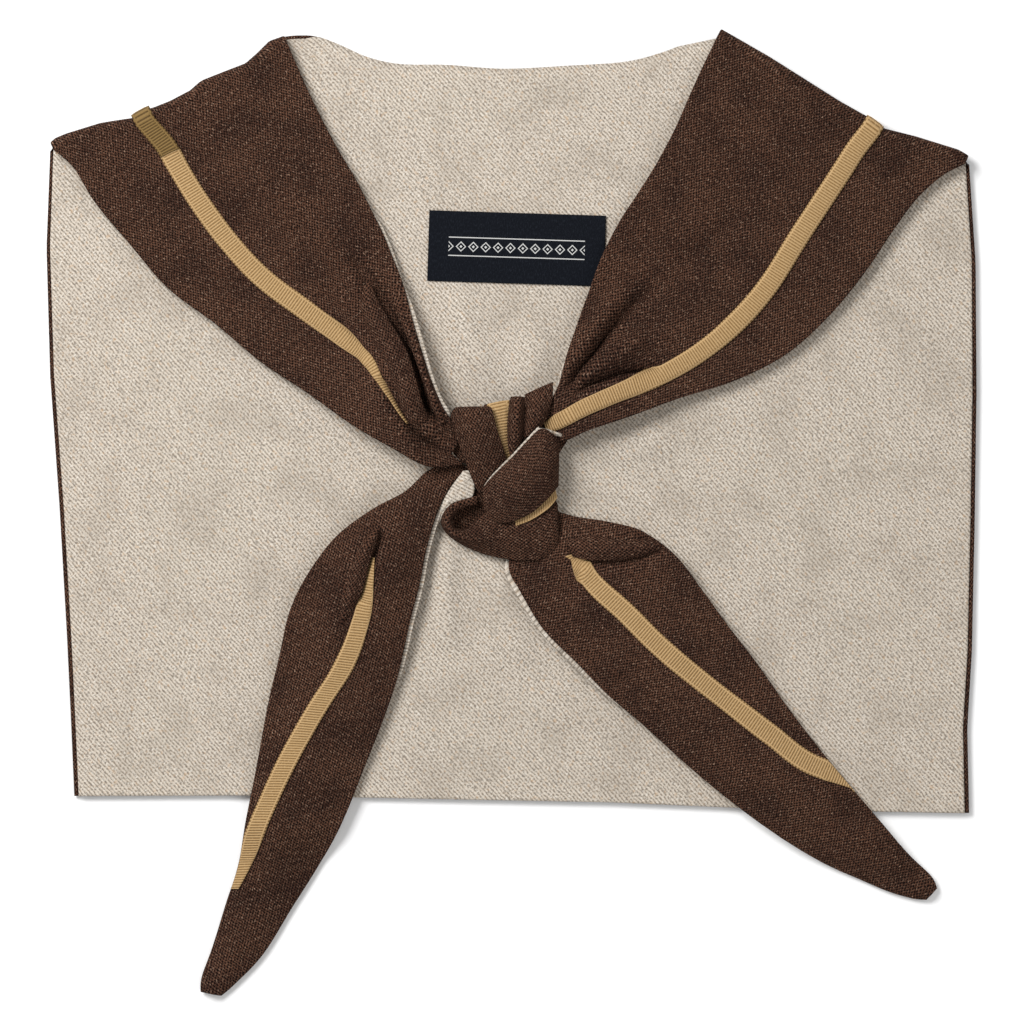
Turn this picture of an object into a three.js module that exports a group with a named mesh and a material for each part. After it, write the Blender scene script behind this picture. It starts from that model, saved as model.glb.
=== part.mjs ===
// A child's sailor collar, laid flat with its lining up. Both fronts fold over at the shoulders, meet
// in a tied knot and end in two pointed tails. Millimetres: +X to the right of the picture, +Y toward
// the neck, +Z up, origin at the centre of the footprint on the surface it lies on.
import * as THREE from 'three';

// Overall sizes of the flat back
const BACK_WIDTH = 315;
const BACK_LENGTH = 263;

// Cloth, and the air left between any two pieces
const CLOTH = 1.0;
const AIR = 0.3;
const KNOT_CLOTH = 1.2;
const LINING_RIM = 1.6; // how far the outer cloth shows past the lining
const LINING_PEEK = 1.0; // how far the lining shows past the fronts' inner edge

// Ribbon, sewn parallel to the outer edges
const RIBBON_WIDTH = 7;
const RIBBON_THICKNESS = 0.5;
const RIBBON_SIDE_INSET = 24; // from the back's sides to the ribbon
const RIBBON_HEM_INSET = 22; // from the hem to the ribbon

// Shoulder roll, measured at the seam plane between the two cloths
const ROLL_RADIUS = 2.2;

// Label on the lining
const LABEL_WIDTH = 60;
const LABEL_HEIGHT = 24;
const LABEL_THICKNESS = 0.6;
const LABEL_TURN = -1.8; // degrees, counter-clockwise from above

// Knot and tails
const KNOT_HEIGHT = 19; // top of the front pass above the surface
const FRONT_LIFT = 3.2; // how far the fronts rise where they meet the knot
const TAIL_REACH = 7; // how far past the hem a tail stays level
const TAIL_DROP = 16; // length over which it then comes down
const TAIL_ARCH = 2.2; // how far a tail's middle stands above its edges
const FOLD_DEPTH = 2.4; // height of a gathered fold in the fronts
const FRONT_LINING_CLOTH = 0.8; // lining that looks out past the front pass
const FRONT_LINING_PEEK = 1.2;

// Shares of a fold's own length over which it fades in before its start and out past its end
const FOLD_LEAD = 0.35;
const FOLD_TRAIL = 0.5;

// Shares of a front's length: where it starts to rise to the knot, over how much, and how it settles
const RISE_START = 0.55;
const RISE_SPAN = 0.3;
const SETTLE_SPAN = 0.1;
const SETTLE_SHARE = 0.55;
const FRONT_EASE = 1 / 3; // share of a front over which it leaves the shoulder roll

// Limits of a tail's ribbon, in shares of its row and of the ribbon's width
const TAIL_MARGIN = 0.06;
const NARROWEST_BAND = 0.04;
const NARROWEST_RIBBON = 0.12;
const SHOWN_RIBBON = 0.15;
const TAIL_EASE = 1 / 4; // share of a tail over which its arch starts
const DEEPEST_DENT = 0.6; // share of the arch that a dent may take away
const ARCH_SPAN = 4; // a row narrower than this many arches has a lower one

// Levels of the reference surface that lies between the outer cloth and the lining
const HALF_AIR = AIR / 2;
const PAIR_HALF = HALF_AIR + CLOTH;
const BACK_LEVEL = RIBBON_THICKNESS + AIR + PAIR_HALF;
const FRONT_LEVEL = BACK_LEVEL + 2 * ROLL_RADIUS;
const TAIL_LEVEL = BACK_LEVEL + 2 * PAIR_HALF + AIR;
const FLOOR_LEVEL = PAIR_HALF;

// Colours
const BROWN = 0x43302a;
const BEIGE = 0xcfc3ac;
const MUSTARD = 0xc79a52;
const BLACK = 0x12161f;

// In every table across is per cent of BACK_WIDTH from the middle, and down is per cent of
// BACK_LENGTH from the neck points.

// Front edges from the shoulder fold to the knot: inner edge, middle of the ribbon, outer edge
const LEFT_FRONT = [
  { innerAcross: -24.5, innerDown: 1, bandAcross: -40, bandDown: 10.5, outerAcross: -49.7, outerDown: 14.5 },
  { innerAcross: -22.5, innerDown: 6.5, bandAcross: -38, bandDown: 14, outerAcross: -47.5, outerDown: 17 },
  { innerAcross: -20.5, innerDown: 11.5, bandAcross: -36.3, bandDown: 17, outerAcross: -45, outerDown: 22 },
  { innerAcross: -18.5, innerDown: 16, bandAcross: -33.8, bandDown: 22, outerAcross: -41.3, outerDown: 27.5 },
  { innerAcross: -17, innerDown: 19, bandAcross: -30.8, bandDown: 27, outerAcross: -37, outerDown: 33.5 },
  { innerAcross: -15.5, innerDown: 22.5, bandAcross: -27, bandDown: 32, outerAcross: -32, outerDown: 38 },
  { innerAcross: -13.5, innerDown: 27.5, bandAcross: -22.6, bandDown: 36, outerAcross: -27, outerDown: 43 },
  { innerAcross: -11.5, innerDown: 34, bandAcross: -18.2, bandDown: 39.7, outerAcross: -22, outerDown: 47 },
  { innerAcross: -10, innerDown: 40, bandAcross: -14.8, bandDown: 43, outerAcross: -17.3, outerDown: 51 },
  { innerAcross: -8.5, innerDown: 46, bandAcross: -12.8, bandDown: 47, outerAcross: -13, outerDown: 54 },
  { innerAcross: -6.7, innerDown: 50, bandAcross: -10.3, bandDown: 51, outerAcross: -9, outerDown: 56.5 },
  { innerAcross: -4.8, innerDown: 51.8, bandAcross: -6, bandDown: 53.5, outerAcross: -5.2, outerDown: 56.2 },
];

const RIGHT_FRONT = [
  { innerAcross: 22.5, innerDown: 0, bandAcross: 39, bandDown: 12, outerAcross: 49.3, outerDown: 16 },
  { innerAcross: 20.5, innerDown: 5, bandAcross: 37.3, bandDown: 14.7, outerAcross: 46.7, outerDown: 18 },
  { innerAcross: 19, innerDown: 9, bandAcross: 35.7, bandDown: 17.8, outerAcross: 43.7, outerDown: 21.5 },
  { innerAcross: 17.5, innerDown: 13, bandAcross: 33.3, bandDown: 22.3, outerAcross: 41, outerDown: 26 },
  { innerAcross: 15.5, innerDown: 17.5, bandAcross: 30.5, bandDown: 27.5, outerAcross: 37.8, outerDown: 31.7 },
  { innerAcross: 13.4, innerDown: 21.5, bandAcross: 27.5, bandDown: 33.2, outerAcross: 34, outerDown: 37.2 },
  { innerAcross: 11.5, innerDown: 25, bandAcross: 24, bandDown: 38, outerAcross: 29.5, outerDown: 42 },
  { innerAcross: 9.6, innerDown: 29.5, bandAcross: 19.8, bandDown: 42, outerAcross: 24, outerDown: 45.4 },
  { innerAcross: 8.2, innerDown: 34, bandAcross: 15.3, bandDown: 45, outerAcross: 18, outerDown: 47.7 },
  { innerAcross: 7, innerDown: 38, bandAcross: 11, bandDown: 47, outerAcross: 12.8, outerDown: 50 },
  { innerAcross: 5.6, innerDown: 43.3, bandAcross: 7.5, bandDown: 48.8, outerAcross: 8.3, outerDown: 51.8 },
  { innerAcross: 4.6, innerDown: 47.3, bandAcross: 5.2, bandDown: 50.2, outerAcross: 5.6, outerDown: 53.2 },
  { innerAcross: 3, innerDown: 49.5, bandAcross: 3, bandDown: 51.2, outerAcross: 3, outerDown: 53 },
];

// Width of the front ribbons along the fronts, a share of RIBBON_WIDTH: each closes to a sliver where
// it runs into the fold beside the knot
const FRONT_RIBBON = [
  { along: 0, width: 1 },
  { along: 0.7, width: 1 },
  { along: 0.8, width: 0.55 },
  { along: 1, width: 0.3 },
];

// Neck edge of the back, between the two fronts
const NECK_EDGE = [
  { across: -23, down: 1.2 },
  { across: -21, down: 0.9 },
  { across: -18.5, down: 2 },
  { across: -15.5, down: 3.6 },
  { across: -12, down: 4.5 },
  { across: -7, down: 4.6 },
  { across: -1, down: 5.1 },
  { across: 6, down: 4.7 },
  { across: 12, down: 4.2 },
  { across: 16, down: 3 },
  { across: 19.5, down: 1.3 },
];

// Sides of the back from the shoulder tips (along 0) to the hem (along 1)
const SIDES = [
  { along: 0, left: -49.8, right: 49.3 },
  { along: 0.15, left: -50.2, right: 50 },
  { along: 0.35, left: -49.8, right: 50.1 },
  { along: 0.55, left: -48.8, right: 49.9 },
  { along: 0.75, left: -48, right: 49.6 },
  { along: 0.87, left: -47.6, right: 49.1 },
  { along: 1, left: -47.2, right: 49.3 },
];

// Hem of the back, which leans a little to the right
const HEM = [
  { along: 0, down: 99 },
  { along: 0.2, down: 98.9 },
  { along: 0.6, down: 99.8 },
  { along: 0.8, down: 100.8 },
  { along: 1, down: 101.2 },
];

// Left tail, from the knot to the tip. The ribbon is given as a share of the row from its left edge.
const LEFT_TAIL = [
  { leftAcross: -6.5, leftDown: 55.9, rightAcross: -4.3, rightDown: 56.6, ribbon: 0.45, width: 0 },
  { leftAcross: -9.1, leftDown: 57.1, rightAcross: -6.2, rightDown: 58.4, ribbon: 0.45, width: 0 },
  { leftAcross: -11.6, leftDown: 59.9, rightAcross: -7.5, rightDown: 60.8, ribbon: 0.45, width: 0 },
  { leftAcross: -15.3, leftDown: 62.3, rightAcross: -8.4, rightDown: 63.6, ribbon: 0.45, width: 0 },
  { leftAcross: -19, leftDown: 65.7, rightAcross: -9.3, rightDown: 67.5, ribbon: 0.46, width: 0 },
  { leftAcross: -22, leftDown: 70.5, rightAcross: -10, rightDown: 71.9, ribbon: 0.505, width: 0.25 },
  { leftAcross: -23.9, leftDown: 75.2, rightAcross: -11, rightDown: 76.5, ribbon: 0.57, width: 0.85 },
  { leftAcross: -25, leftDown: 81, rightAcross: -12.2, rightDown: 83, ribbon: 0.54, width: 1 },
  { leftAcross: -26.2, leftDown: 87, rightAcross: -13.7, rightDown: 88.5, ribbon: 0.38, width: 1 },
  { leftAcross: -27.5, leftDown: 95.5, rightAcross: -16, rightDown: 95.5, ribbon: 0.24, width: 1 },
  { leftAcross: -28.6, leftDown: 102, rightAcross: -18.2, rightDown: 102, ribbon: 0.14, width: 0.8 },
  { leftAcross: -29.5, leftDown: 108, rightAcross: -20.7, rightDown: 107.5, ribbon: 0.08, width: 0.3 },
  { leftAcross: -30.8, leftDown: 113, rightAcross: -23.6, rightDown: 113, ribbon: 0.08, width: 0 },
  { leftAcross: -32.2, leftDown: 118.5, rightAcross: -26.7, rightDown: 119, ribbon: 0.1, width: 0 },
  { leftAcross: -33.3, leftDown: 122.3, rightAcross: -29.7, rightDown: 122.8, ribbon: 0.1, width: 0 },
  { leftAcross: -33.4, leftDown: 124.3, rightAcross: -31.5, rightDown: 124.6, ribbon: 0.1, width: 0 },
];

// Right tail, from the knot to the tip, its lower edge on the left
const RIGHT_TAIL = [
  { leftAcross: 0, leftDown: 67, rightAcross: 4.3, rightDown: 62, ribbon: 0.5, width: 0 },
  { leftAcross: -0.3, leftDown: 69.8, rightAcross: 7, rightDown: 63, ribbon: 0.5, width: 0 },
  { leftAcross: 1.2, leftDown: 73.2, rightAcross: 10.5, rightDown: 63.7, ribbon: 0.57, width: 0.45 },
  { leftAcross: 3.5, leftDown: 77.5, rightAcross: 14.3, rightDown: 65, ribbon: 0.49, width: 1 },
  { leftAcross: 7, leftDown: 81.7, rightAcross: 17.6, rightDown: 68, ribbon: 0.48, width: 1 },
  { leftAcross: 10.5, leftDown: 86, rightAcross: 20.3, rightDown: 72.2, ribbon: 0.5, width: 1 },
  { leftAcross: 14.4, leftDown: 90, rightAcross: 23.2, rightDown: 77, ribbon: 0.54, width: 1 },
  { leftAcross: 18.6, leftDown: 94.6, rightAcross: 26.4, rightDown: 82, ribbon: 0.61, width: 1 },
  { leftAcross: 23.4, leftDown: 99.4, rightAcross: 29.5, rightDown: 87.3, ribbon: 0.7, width: 1 },
  { leftAcross: 28.2, leftDown: 103.6, rightAcross: 32.8, rightDown: 92.5, ribbon: 0.79, width: 1 },
  { leftAcross: 33.3, leftDown: 107.3, rightAcross: 36.1, rightDown: 97.3, ribbon: 0.86, width: 0.5 },
  { leftAcross: 37.4, leftDown: 109.6, rightAcross: 39.4, rightDown: 102, ribbon: 0.88, width: 0 },
  { leftAcross: 40.6, leftDown: 111.2, rightAcross: 42.5, rightDown: 106.3, ribbon: 0.9, width: 0 },
  { leftAcross: 43, leftDown: 112, rightAcross: 45, rightDown: 109.3, ribbon: 0.9, width: 0 },
  { leftAcross: 44.7, leftDown: 112.2, rightAcross: 45.7, rightDown: 111, ribbon: 0.9, width: 0 },
];

// Gathered folds of the fronts, each a soft ridge (height above 0) or groove (below 0) between two
// ends. Height is a share of FOLD_DEPTH and breadth is per cent of BACK_WIDTH.
const LEFT_FOLDS = [
  { fromAcross: -15.5, fromDown: 32, toAcross: -9.2, toDown: 49, height: -1, breadth: 1 },
  { fromAcross: -13.5, fromDown: 29, toAcross: -7, toDown: 47, height: 0.7, breadth: 1.3 },
  { fromAcross: -13, fromDown: 47, toAcross: -9.5, toDown: 54, height: -0.6, breadth: 0.9 },
  { fromAcross: -8, fromDown: 52, toAcross: -5.5, toDown: 55, height: 0.7, breadth: 1.3 },
];

const RIGHT_FOLDS = [
  { fromAcross: 15, fromDown: 33.5, toAcross: 5.5, toDown: 46.5, height: -1, breadth: 1 },
  { fromAcross: 16, fromDown: 43.5, toAcross: 6.5, toDown: 47.5, height: -0.7, breadth: 0.8 },
  { fromAcross: 12, fromDown: 34, toAcross: 6, toDown: 42, height: 0.6, breadth: 1.2 },
];

// Folds of the tails
const LEFT_TAIL_FOLDS = [
  { fromAcross: -15.5, fromDown: 66, toAcross: -16.5, toDown: 72, height: -0.9, breadth: 1.1 },
  { fromAcross: -12, fromDown: 66, toAcross: -13, toDown: 82, height: 0.5, breadth: 2 },
];

const RIGHT_TAIL_FOLDS = [
  { fromAcross: 5, fromDown: 68, toAcross: 14, toDown: 68.5, height: -1, breadth: 1.2 },
  { fromAcross: 3, fromDown: 74, toAcross: 12, toDown: 84, height: 0.5, breadth: 2 },
];

// Passes of the knot. Left, crown and right are heights of a pass's left edge, middle and right edge,
// in per cent of KNOT_HEIGHT.
const KNOT_RISE = [
  { leftAcross: -6.1, leftDown: 48.9, rightAcross: -2.3, rightDown: 48.9, left: 52, crown: 60, right: 62 },
  { leftAcross: -6.5, leftDown: 50, rightAcross: -2.1, rightDown: 49.4, left: 58, crown: 80, right: 66 },
  { leftAcross: -6, leftDown: 52.3, rightAcross: -1.6, rightDown: 51.8, left: 58, crown: 84, right: 68 },
  { leftAcross: -5.1, leftDown: 55.3, rightAcross: -0.9, rightDown: 54.3, left: 54, crown: 74, right: 60 },
  { leftAcross: -4.3, leftDown: 58, rightAcross: -0.5, rightDown: 56.8, left: 48, crown: 60, right: 52 },
  { leftAcross: -3.5, leftDown: 60, rightAcross: -1.2, rightDown: 58.7, left: 42, crown: 48, right: 44 },
];

// The cloth below the rise, which carries the stripe
const KNOT_UNDER = [
  { leftAcross: -3, leftDown: 48.5, rightAcross: -0.2, rightDown: 48, left: 42, crown: 42, right: 42 },
  { leftAcross: -3, leftDown: 49.6, rightAcross: -0.2, rightDown: 48.8, left: 46, crown: 50, right: 46 },
  { leftAcross: -2.6, leftDown: 52, rightAcross: -0.2, rightDown: 51.5, left: 46, crown: 50, right: 46 },
  { leftAcross: -2.2, leftDown: 54.5, rightAcross: -0.3, rightDown: 54, left: 43, crown: 46, right: 43 },
];

const KNOT_FOLD = [
  { leftAcross: -0.1, leftDown: 47.6, rightAcross: 1.4, rightDown: 47.6, left: 52, crown: 58, right: 46 },
  { leftAcross: -0.2, leftDown: 48.4, rightAcross: 1.5, rightDown: 48.4, left: 58, crown: 78, right: 48 },
  { leftAcross: -0.4, leftDown: 51, rightAcross: 1.4, rightDown: 51, left: 58, crown: 78, right: 48 },
  { leftAcross: -0.4, leftDown: 53.7, rightAcross: 1.4, rightDown: 53, left: 57, crown: 66, right: 48 },
  { leftAcross: -0.1, leftDown: 55.3, rightAcross: 0.9, rightDown: 54.5, left: 54, crown: 60, right: 48 },
];

const KNOT_GATHER = [
  { leftAcross: 2, leftDown: 47.6, rightAcross: 4.4, rightDown: 45.8, left: 62, crown: 64, right: 62 },
  { leftAcross: 1.8, leftDown: 49.2, rightAcross: 4.2, rightDown: 48, left: 60, crown: 76, right: 64 },
  { leftAcross: 1.7, leftDown: 51.2, rightAcross: 3.6, rightDown: 50, left: 60, crown: 76, right: 62 },
  { leftAcross: 1.7, leftDown: 53, rightAcross: 2.9, rightDown: 51.7, left: 58, crown: 62, right: 60 },
];

const KNOT_FRONT = [
  { leftAcross: 4.6, leftDown: 54.8, rightAcross: 4.7, rightDown: 59, left: 40, crown: 42, right: 40 },
  { leftAcross: 4.9, leftDown: 53.2, rightAcross: 4.8, rightDown: 59.1, left: 60, crown: 66, right: 54 },
  { leftAcross: 4, leftDown: 52, rightAcross: 4.4, rightDown: 59.7, left: 76, crown: 86, right: 66 },
  { leftAcross: 3, leftDown: 51.7, rightAcross: 3.6, rightDown: 60.8, left: 79, crown: 95, right: 70 },
  { leftAcross: 1.6, leftDown: 53.3, rightAcross: 2.2, rightDown: 62.3, left: 80, crown: 98, right: 71 },
  { leftAcross: 0.2, leftDown: 55.1, rightAcross: 0.6, rightDown: 63.3, left: 79, crown: 94, right: 71 },
  { leftAcross: -1.1, leftDown: 56.6, rightAcross: -0.9, rightDown: 63.7, left: 76, crown: 88, right: 69 },
  { leftAcross: -2.4, leftDown: 58.2, rightAcross: -2.2, rightDown: 63, left: 69, crown: 76, right: 66 },
  { leftAcross: -3.1, leftDown: 59.3, rightAcross: -3, rightDown: 61.5, left: 62, crown: 65, right: 61 },
];

const KNOT_LOOP = [
  { leftAcross: -6.5, leftDown: 61.6, rightAcross: -5, rightDown: 61.6, left: 50, crown: 52, right: 50 },
  { leftAcross: -7.1, leftDown: 62.3, rightAcross: -5.7, rightDown: 62.1, left: 46, crown: 56, right: 46 },
  { leftAcross: -7.5, leftDown: 63.3, rightAcross: -6.2, rightDown: 62.8, left: 40, crown: 60, right: 40 },
  { leftAcross: -7.1, leftDown: 64.8, rightAcross: -5.9, rightDown: 63.9, left: 34, crown: 60, right: 38 },
  { leftAcross: -5.8, leftDown: 66.1, rightAcross: -5, rightDown: 63.2, left: 30, crown: 60, right: 42 },
  { leftAcross: -3.9, leftDown: 67.2, rightAcross: -3.7, rightDown: 61.8, left: 30, crown: 57, right: 46 },
  { leftAcross: -1.6, leftDown: 68.1, rightAcross: -1.9, rightDown: 60.8, left: 33, crown: 57, right: 48 },
  { leftAcross: 0.9, leftDown: 68.5, rightAcross: 0.2, rightDown: 60.8, left: 39, crown: 60, right: 50 },
  { leftAcross: 3.3, leftDown: 68.3, rightAcross: 2.7, rightDown: 60.8, left: 42, crown: 58, right: 50 },
  { leftAcross: 4.8, leftDown: 66.6, rightAcross: 4.3, rightDown: 60.5, left: 42, crown: 52, right: 46 },
  { leftAcross: 4.9, leftDown: 65.7, rightAcross: 4.8, rightDown: 61.4, left: 36, crown: 40, right: 36 },
];

// Lining turned up at the left tail's root
const TAIL_TURN = [
  { leftAcross: -5.2, leftDown: 57, rightAcross: -4.1, rightDown: 56.9, left: 38, crown: 41, right: 38 },
  { leftAcross: -6.3, leftDown: 58.7, rightAcross: -4, rightDown: 58.7, left: 38, crown: 42, right: 38 },
  { leftAcross: -7.1, leftDown: 60.2, rightAcross: -4.3, rightDown: 60.4, left: 38, crown: 42, right: 38 },
  { leftAcross: -7.8, leftDown: 61.8, rightAcross: -5.9, rightDown: 61.2, left: 37, crown: 40, right: 37 },
  { leftAcross: -8.2, leftDown: 63, rightAcross: -7.2, rightDown: 62.6, left: 36, crown: 38, right: 36 },
];

const LABEL_PLACE = { across: 0.5, down: 28.3 };

// Turns a place given in per cent into millimetres
function place(across, down) {
  return new THREE.Vector2((across / 100) * BACK_WIDTH, -(down / 100) * BACK_LENGTH);
}

function clamp01(value) {
  return Math.min(1, Math.max(0, value));
}

function smooth(value) {
  const t = clamp01(value);
  return t * t * (3 - 2 * t);
}

function mix(a, b, t) {
  return a + (b - a) * t;
}

// Reads one column of a table at a value of its key column, with straight steps between rows
function lookUp(rows, key, column, value) {
  let i = 0;
  while (i < rows.length - 2 && rows[i + 1][key] < value) {
    i += 1;
  }
  const t = clamp01((value - rows[i][key]) / (rows[i + 1][key] - rows[i][key]));
  return mix(rows[i][column], rows[i + 1][column], t);
}

// A smooth line through the places of a table, read by a share of its rows
function rail(rows, across, down) {
  const points = rows.map((row) => place(row[across], row[down]));
  return new THREE.SplineCurve(points);
}

// Height of the folds of a table at a place
function foldHeight(folds, point) {
  let height = 0;
  for (const fold of folds) {
    const from = place(fold.fromAcross, fold.fromDown);
    const to = place(fold.toAcross, fold.toDown);
    const line = to.clone().sub(from);
    const along = point.clone().sub(from).dot(line) / line.lengthSq();
    const nearest = from.clone().addScaledVector(line, clamp01(along));
    const breadth = (fold.breadth / 100) * BACK_WIDTH;
    const across = nearest.distanceTo(point) / breadth;
    const fade = smooth(FOLD_LEAD + along) * smooth(1 + FOLD_TRAIL - along);
    height += fold.height * FOLD_DEPTH * Math.exp(-across * across) * fade;
  }
  return height;
}

// Places of the back, rows from the hem up to the neck and the folds, columns from left to right
const FRONT_INNER_STEPS = 6;
const FRONT_OUTER_STEPS = 3;
const FRONT_STEPS = FRONT_INNER_STEPS + FRONT_OUTER_STEPS + 1;
const NECK_STEPS = 10;
const SIDE_ROWS = 4;
const ROLL_STEPS = 5;
const FRONT_ROWS = 20;

// One front's columns between its inner and outer edges, with a pair of columns at the ribbon's edges
function frontColumns(inner, ribbonIn, ribbonOut, outer) {
  const points = [];
  for (let i = 0; i <= FRONT_INNER_STEPS; i += 1) {
    points.push(inner.clone().lerp(ribbonIn, i / FRONT_INNER_STEPS));
  }
  for (let i = 0; i <= FRONT_OUTER_STEPS; i += 1) {
    points.push(ribbonOut.clone().lerp(outer, i / FRONT_OUTER_STEPS));
  }
  return points;
}

const CURVE_END = 0.02; // keeps a tangent off the very end of a line

// Plan of a front: rows of places from the shoulder fold to the knot, columns from the inner edge
function frontPlan(table) {
  const inner = rail(table, 'innerAcross', 'innerDown');
  const ribbon = rail(table, 'bandAcross', 'bandDown');
  const outer = rail(table, 'outerAcross', 'outerDown');
  const foldLine = outer.getPoint(0).sub(inner.getPoint(0)).normalize();
  const side = Math.sign(foldLine.x);
  const inward = new THREE.Vector2(foldLine.y * side, -foldLine.x * side);
  const setBack = ROLL_RADIUS + PAIR_HALF;
  const rows = [];
  for (let i = 0; i <= FRONT_ROWS; i += 1) {
    const t = i / FRONT_ROWS;
    const start = setBack * (1 - smooth(t / FRONT_EASE));
    const shift = inward.clone().multiplyScalar(start);
    const half = (RIBBON_WIDTH / 2) * lookUp(FRONT_RIBBON, 'along', 'width', t);
    const tangent = ribbon.getTangent(Math.min(1 - CURVE_END, Math.max(CURVE_END, t)));
    const away = new THREE.Vector2(-tangent.y, tangent.x).multiplyScalar(side);
    const middle = ribbon.getPoint(t);
    const ribbonIn = middle.clone().addScaledVector(away, -half);
    const ribbonOut = middle.clone().addScaledVector(away, half);
    const row = frontColumns(inner.getPoint(t), ribbonIn, ribbonOut, outer.getPoint(t));
    rows.push(row.map((point) => point.add(shift)));
  }
  return { rows, inward, side };
}

const leftPlan = frontPlan(LEFT_FRONT);
const rightPlan = frontPlan(RIGHT_FRONT);

function lift(point, height) {
  return new THREE.Vector3(point.x, point.y, height);
}

// The back's grid of points at BACK_LEVEL
function backGrid() {
  const leftTop = leftPlan.rows[0].slice().reverse();
  const rightTop = rightPlan.rows[0];
  const neck = rail([...NECK_EDGE], 'across', 'down');
  const neckTop = [];
  for (let i = 1; i < NECK_STEPS; i += 1) {
    neckTop.push(neck.getPoint((i - 0.5) / (NECK_STEPS - 1)));
  }
  const top = [...leftTop, ...neckTop, ...rightTop];
  const hemLeft = (SIDES[SIDES.length - 1].left / 100) * BACK_WIDTH;
  const hemRight = (SIDES[SIDES.length - 1].right / 100) * BACK_WIDTH;
  const hemWidth = hemRight - hemLeft;
  const ribbonOut = RIBBON_SIDE_INSET / hemWidth;
  const ribbonIn = (RIBBON_SIDE_INSET + RIBBON_WIDTH) / hemWidth;
  const count = top.length - 1;
  const share = (i) => {
    const fromEdge = Math.min(i, count - i);
    let value = 0;
    if (fromEdge <= FRONT_OUTER_STEPS) {
      value = (ribbonOut * fromEdge) / FRONT_OUTER_STEPS;
    } else {
      const steps = fromEdge - FRONT_OUTER_STEPS - 1;
      value = mix(ribbonIn, 0.5, steps / (count / 2 - FRONT_OUTER_STEPS - 1));
    }
    return i <= count / 2 ? value : 1 - value;
  };
  const hemShares = [0, RIBBON_HEM_INSET / BACK_LENGTH, (RIBBON_HEM_INSET + RIBBON_WIDTH) / BACK_LENGTH];
  const ups = [...hemShares];
  const last = hemShares[hemShares.length - 1];
  for (let i = 1; i <= SIDE_ROWS; i += 1) {
    ups.push(mix(last, 1, i / SIDE_ROWS));
  }
  return ups.map((up) => top.map((topPoint, i) => {
    const along = share(i);
    const sideLeft = (lookUp(SIDES, 'along', 'left', 1 - up) / 100) * BACK_WIDTH;
    const sideRight = (lookUp(SIDES, 'along', 'right', 1 - up) / 100) * BACK_WIDTH;
    const hemDown = lookUp(HEM, 'along', 'down', along);
    const hem = new THREE.Vector2(mix(hemLeft, hemRight, along), place(0, hemDown).y);
    const bulgeLeft = sideLeft - mix(hemLeft, top[0].x, up);
    const bulgeRight = sideRight - mix(hemRight, top[count].x, up);
    const point = hem.clone().lerp(topPoint, up);
    point.x += mix(bulgeLeft, bulgeRight, along);
    return lift(point, BACK_LEVEL);
  }));
}

// Rows of the roll that joins the back to a front, from just after the back to just before the front
function rollRows(plan) {
  const rows = [];
  for (let i = 1; i < ROLL_STEPS; i += 1) {
    const turn = (Math.PI * i) / ROLL_STEPS;
    const out = ROLL_RADIUS * Math.sin(turn);
    const height = BACK_LEVEL + ROLL_RADIUS * (1 - Math.cos(turn));
    rows.push(plan.rows[0].map((point) => lift(point.clone().addScaledVector(plan.inward, -out), height)));
  }
  return rows;
}

// How far the fronts rise on their way to the knot
function frontRise(t) {
  const rise = smooth((t - RISE_START) / RISE_SPAN);
  const settle = smooth((t - 1 + SETTLE_SPAN) / SETTLE_SPAN);
  return FRONT_LIFT * rise * (1 - SETTLE_SHARE * settle);
}

function frontRows(plan, folds) {
  return plan.rows.map((row, i) => {
    const t = i / FRONT_ROWS;
    return row.map((point) => {
      const relief = foldHeight(folds, point) * smooth(t / FRONT_EASE);
      return lift(point, FRONT_LEVEL + frontRise(t) + relief);
    });
  });
}

// Copies of a grid with its columns turned round
function flip(grid) {
  return grid.map((row) => row.slice().reverse());
}

function columns(grid, from, to) {
  return grid.map((row) => row.slice(from, to + 1));
}

const LARGEST_INSET = 0.9; // share of a grid's own step

// Moves a grid's edge in by a distance along its own rows or columns. A negative distance moves it out.
function inset(grid, { left = 0, right = 0, start = 0, end = 0 }) {
  const moved = grid.map((row) => row.map((point) => point.clone()));
  const shiftTo = (point, next, distance) => {
    const step = next.clone().sub(point);
    const length = step.length();
    if (length > 0) {
      point.addScaledVector(step, Math.min(distance / length, LARGEST_INSET));
    }
  };
  const lastRow = moved.length - 1;
  const lastColumn = moved[0].length - 1;
  moved.forEach((row, i) => {
    shiftTo(row[0], grid[i][1], left);
    shiftTo(row[lastColumn], grid[i][lastColumn - 1], right);
  });
  moved[0].forEach((point, j) => shiftTo(point, moved[1][j], start));
  moved[lastRow].forEach((point, j) => shiftTo(point, moved[lastRow - 1][j], end));
  return moved;
}

function key(point) {
  return `${point.x.toFixed(4)},${point.y.toFixed(4)},${point.z.toFixed(4)}`;
}

// Direction of the outer cloth's side at every point of the grids, shared where grids meet
function normalsOf(grids) {
  const sums = new Map();
  for (const grid of grids) {
    for (let i = 0; i < grid.length - 1; i += 1) {
      for (let j = 0; j < grid[0].length - 1; j += 1) {
        const corners = [grid[i][j], grid[i + 1][j], grid[i + 1][j + 1], grid[i][j + 1]];
        const across = corners[2].clone().sub(corners[0]);
        const other = corners[3].clone().sub(corners[1]);
        const normal = across.cross(other).normalize();
        for (const corner of corners) {
          const name = key(corner);
          const sum = sums.get(name) || new THREE.Vector3();
          sums.set(name, sum.add(normal));
        }
      }
    }
  }
  for (const sum of sums.values()) {
    sum.normalize();
  }
  return sums;
}

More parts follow.
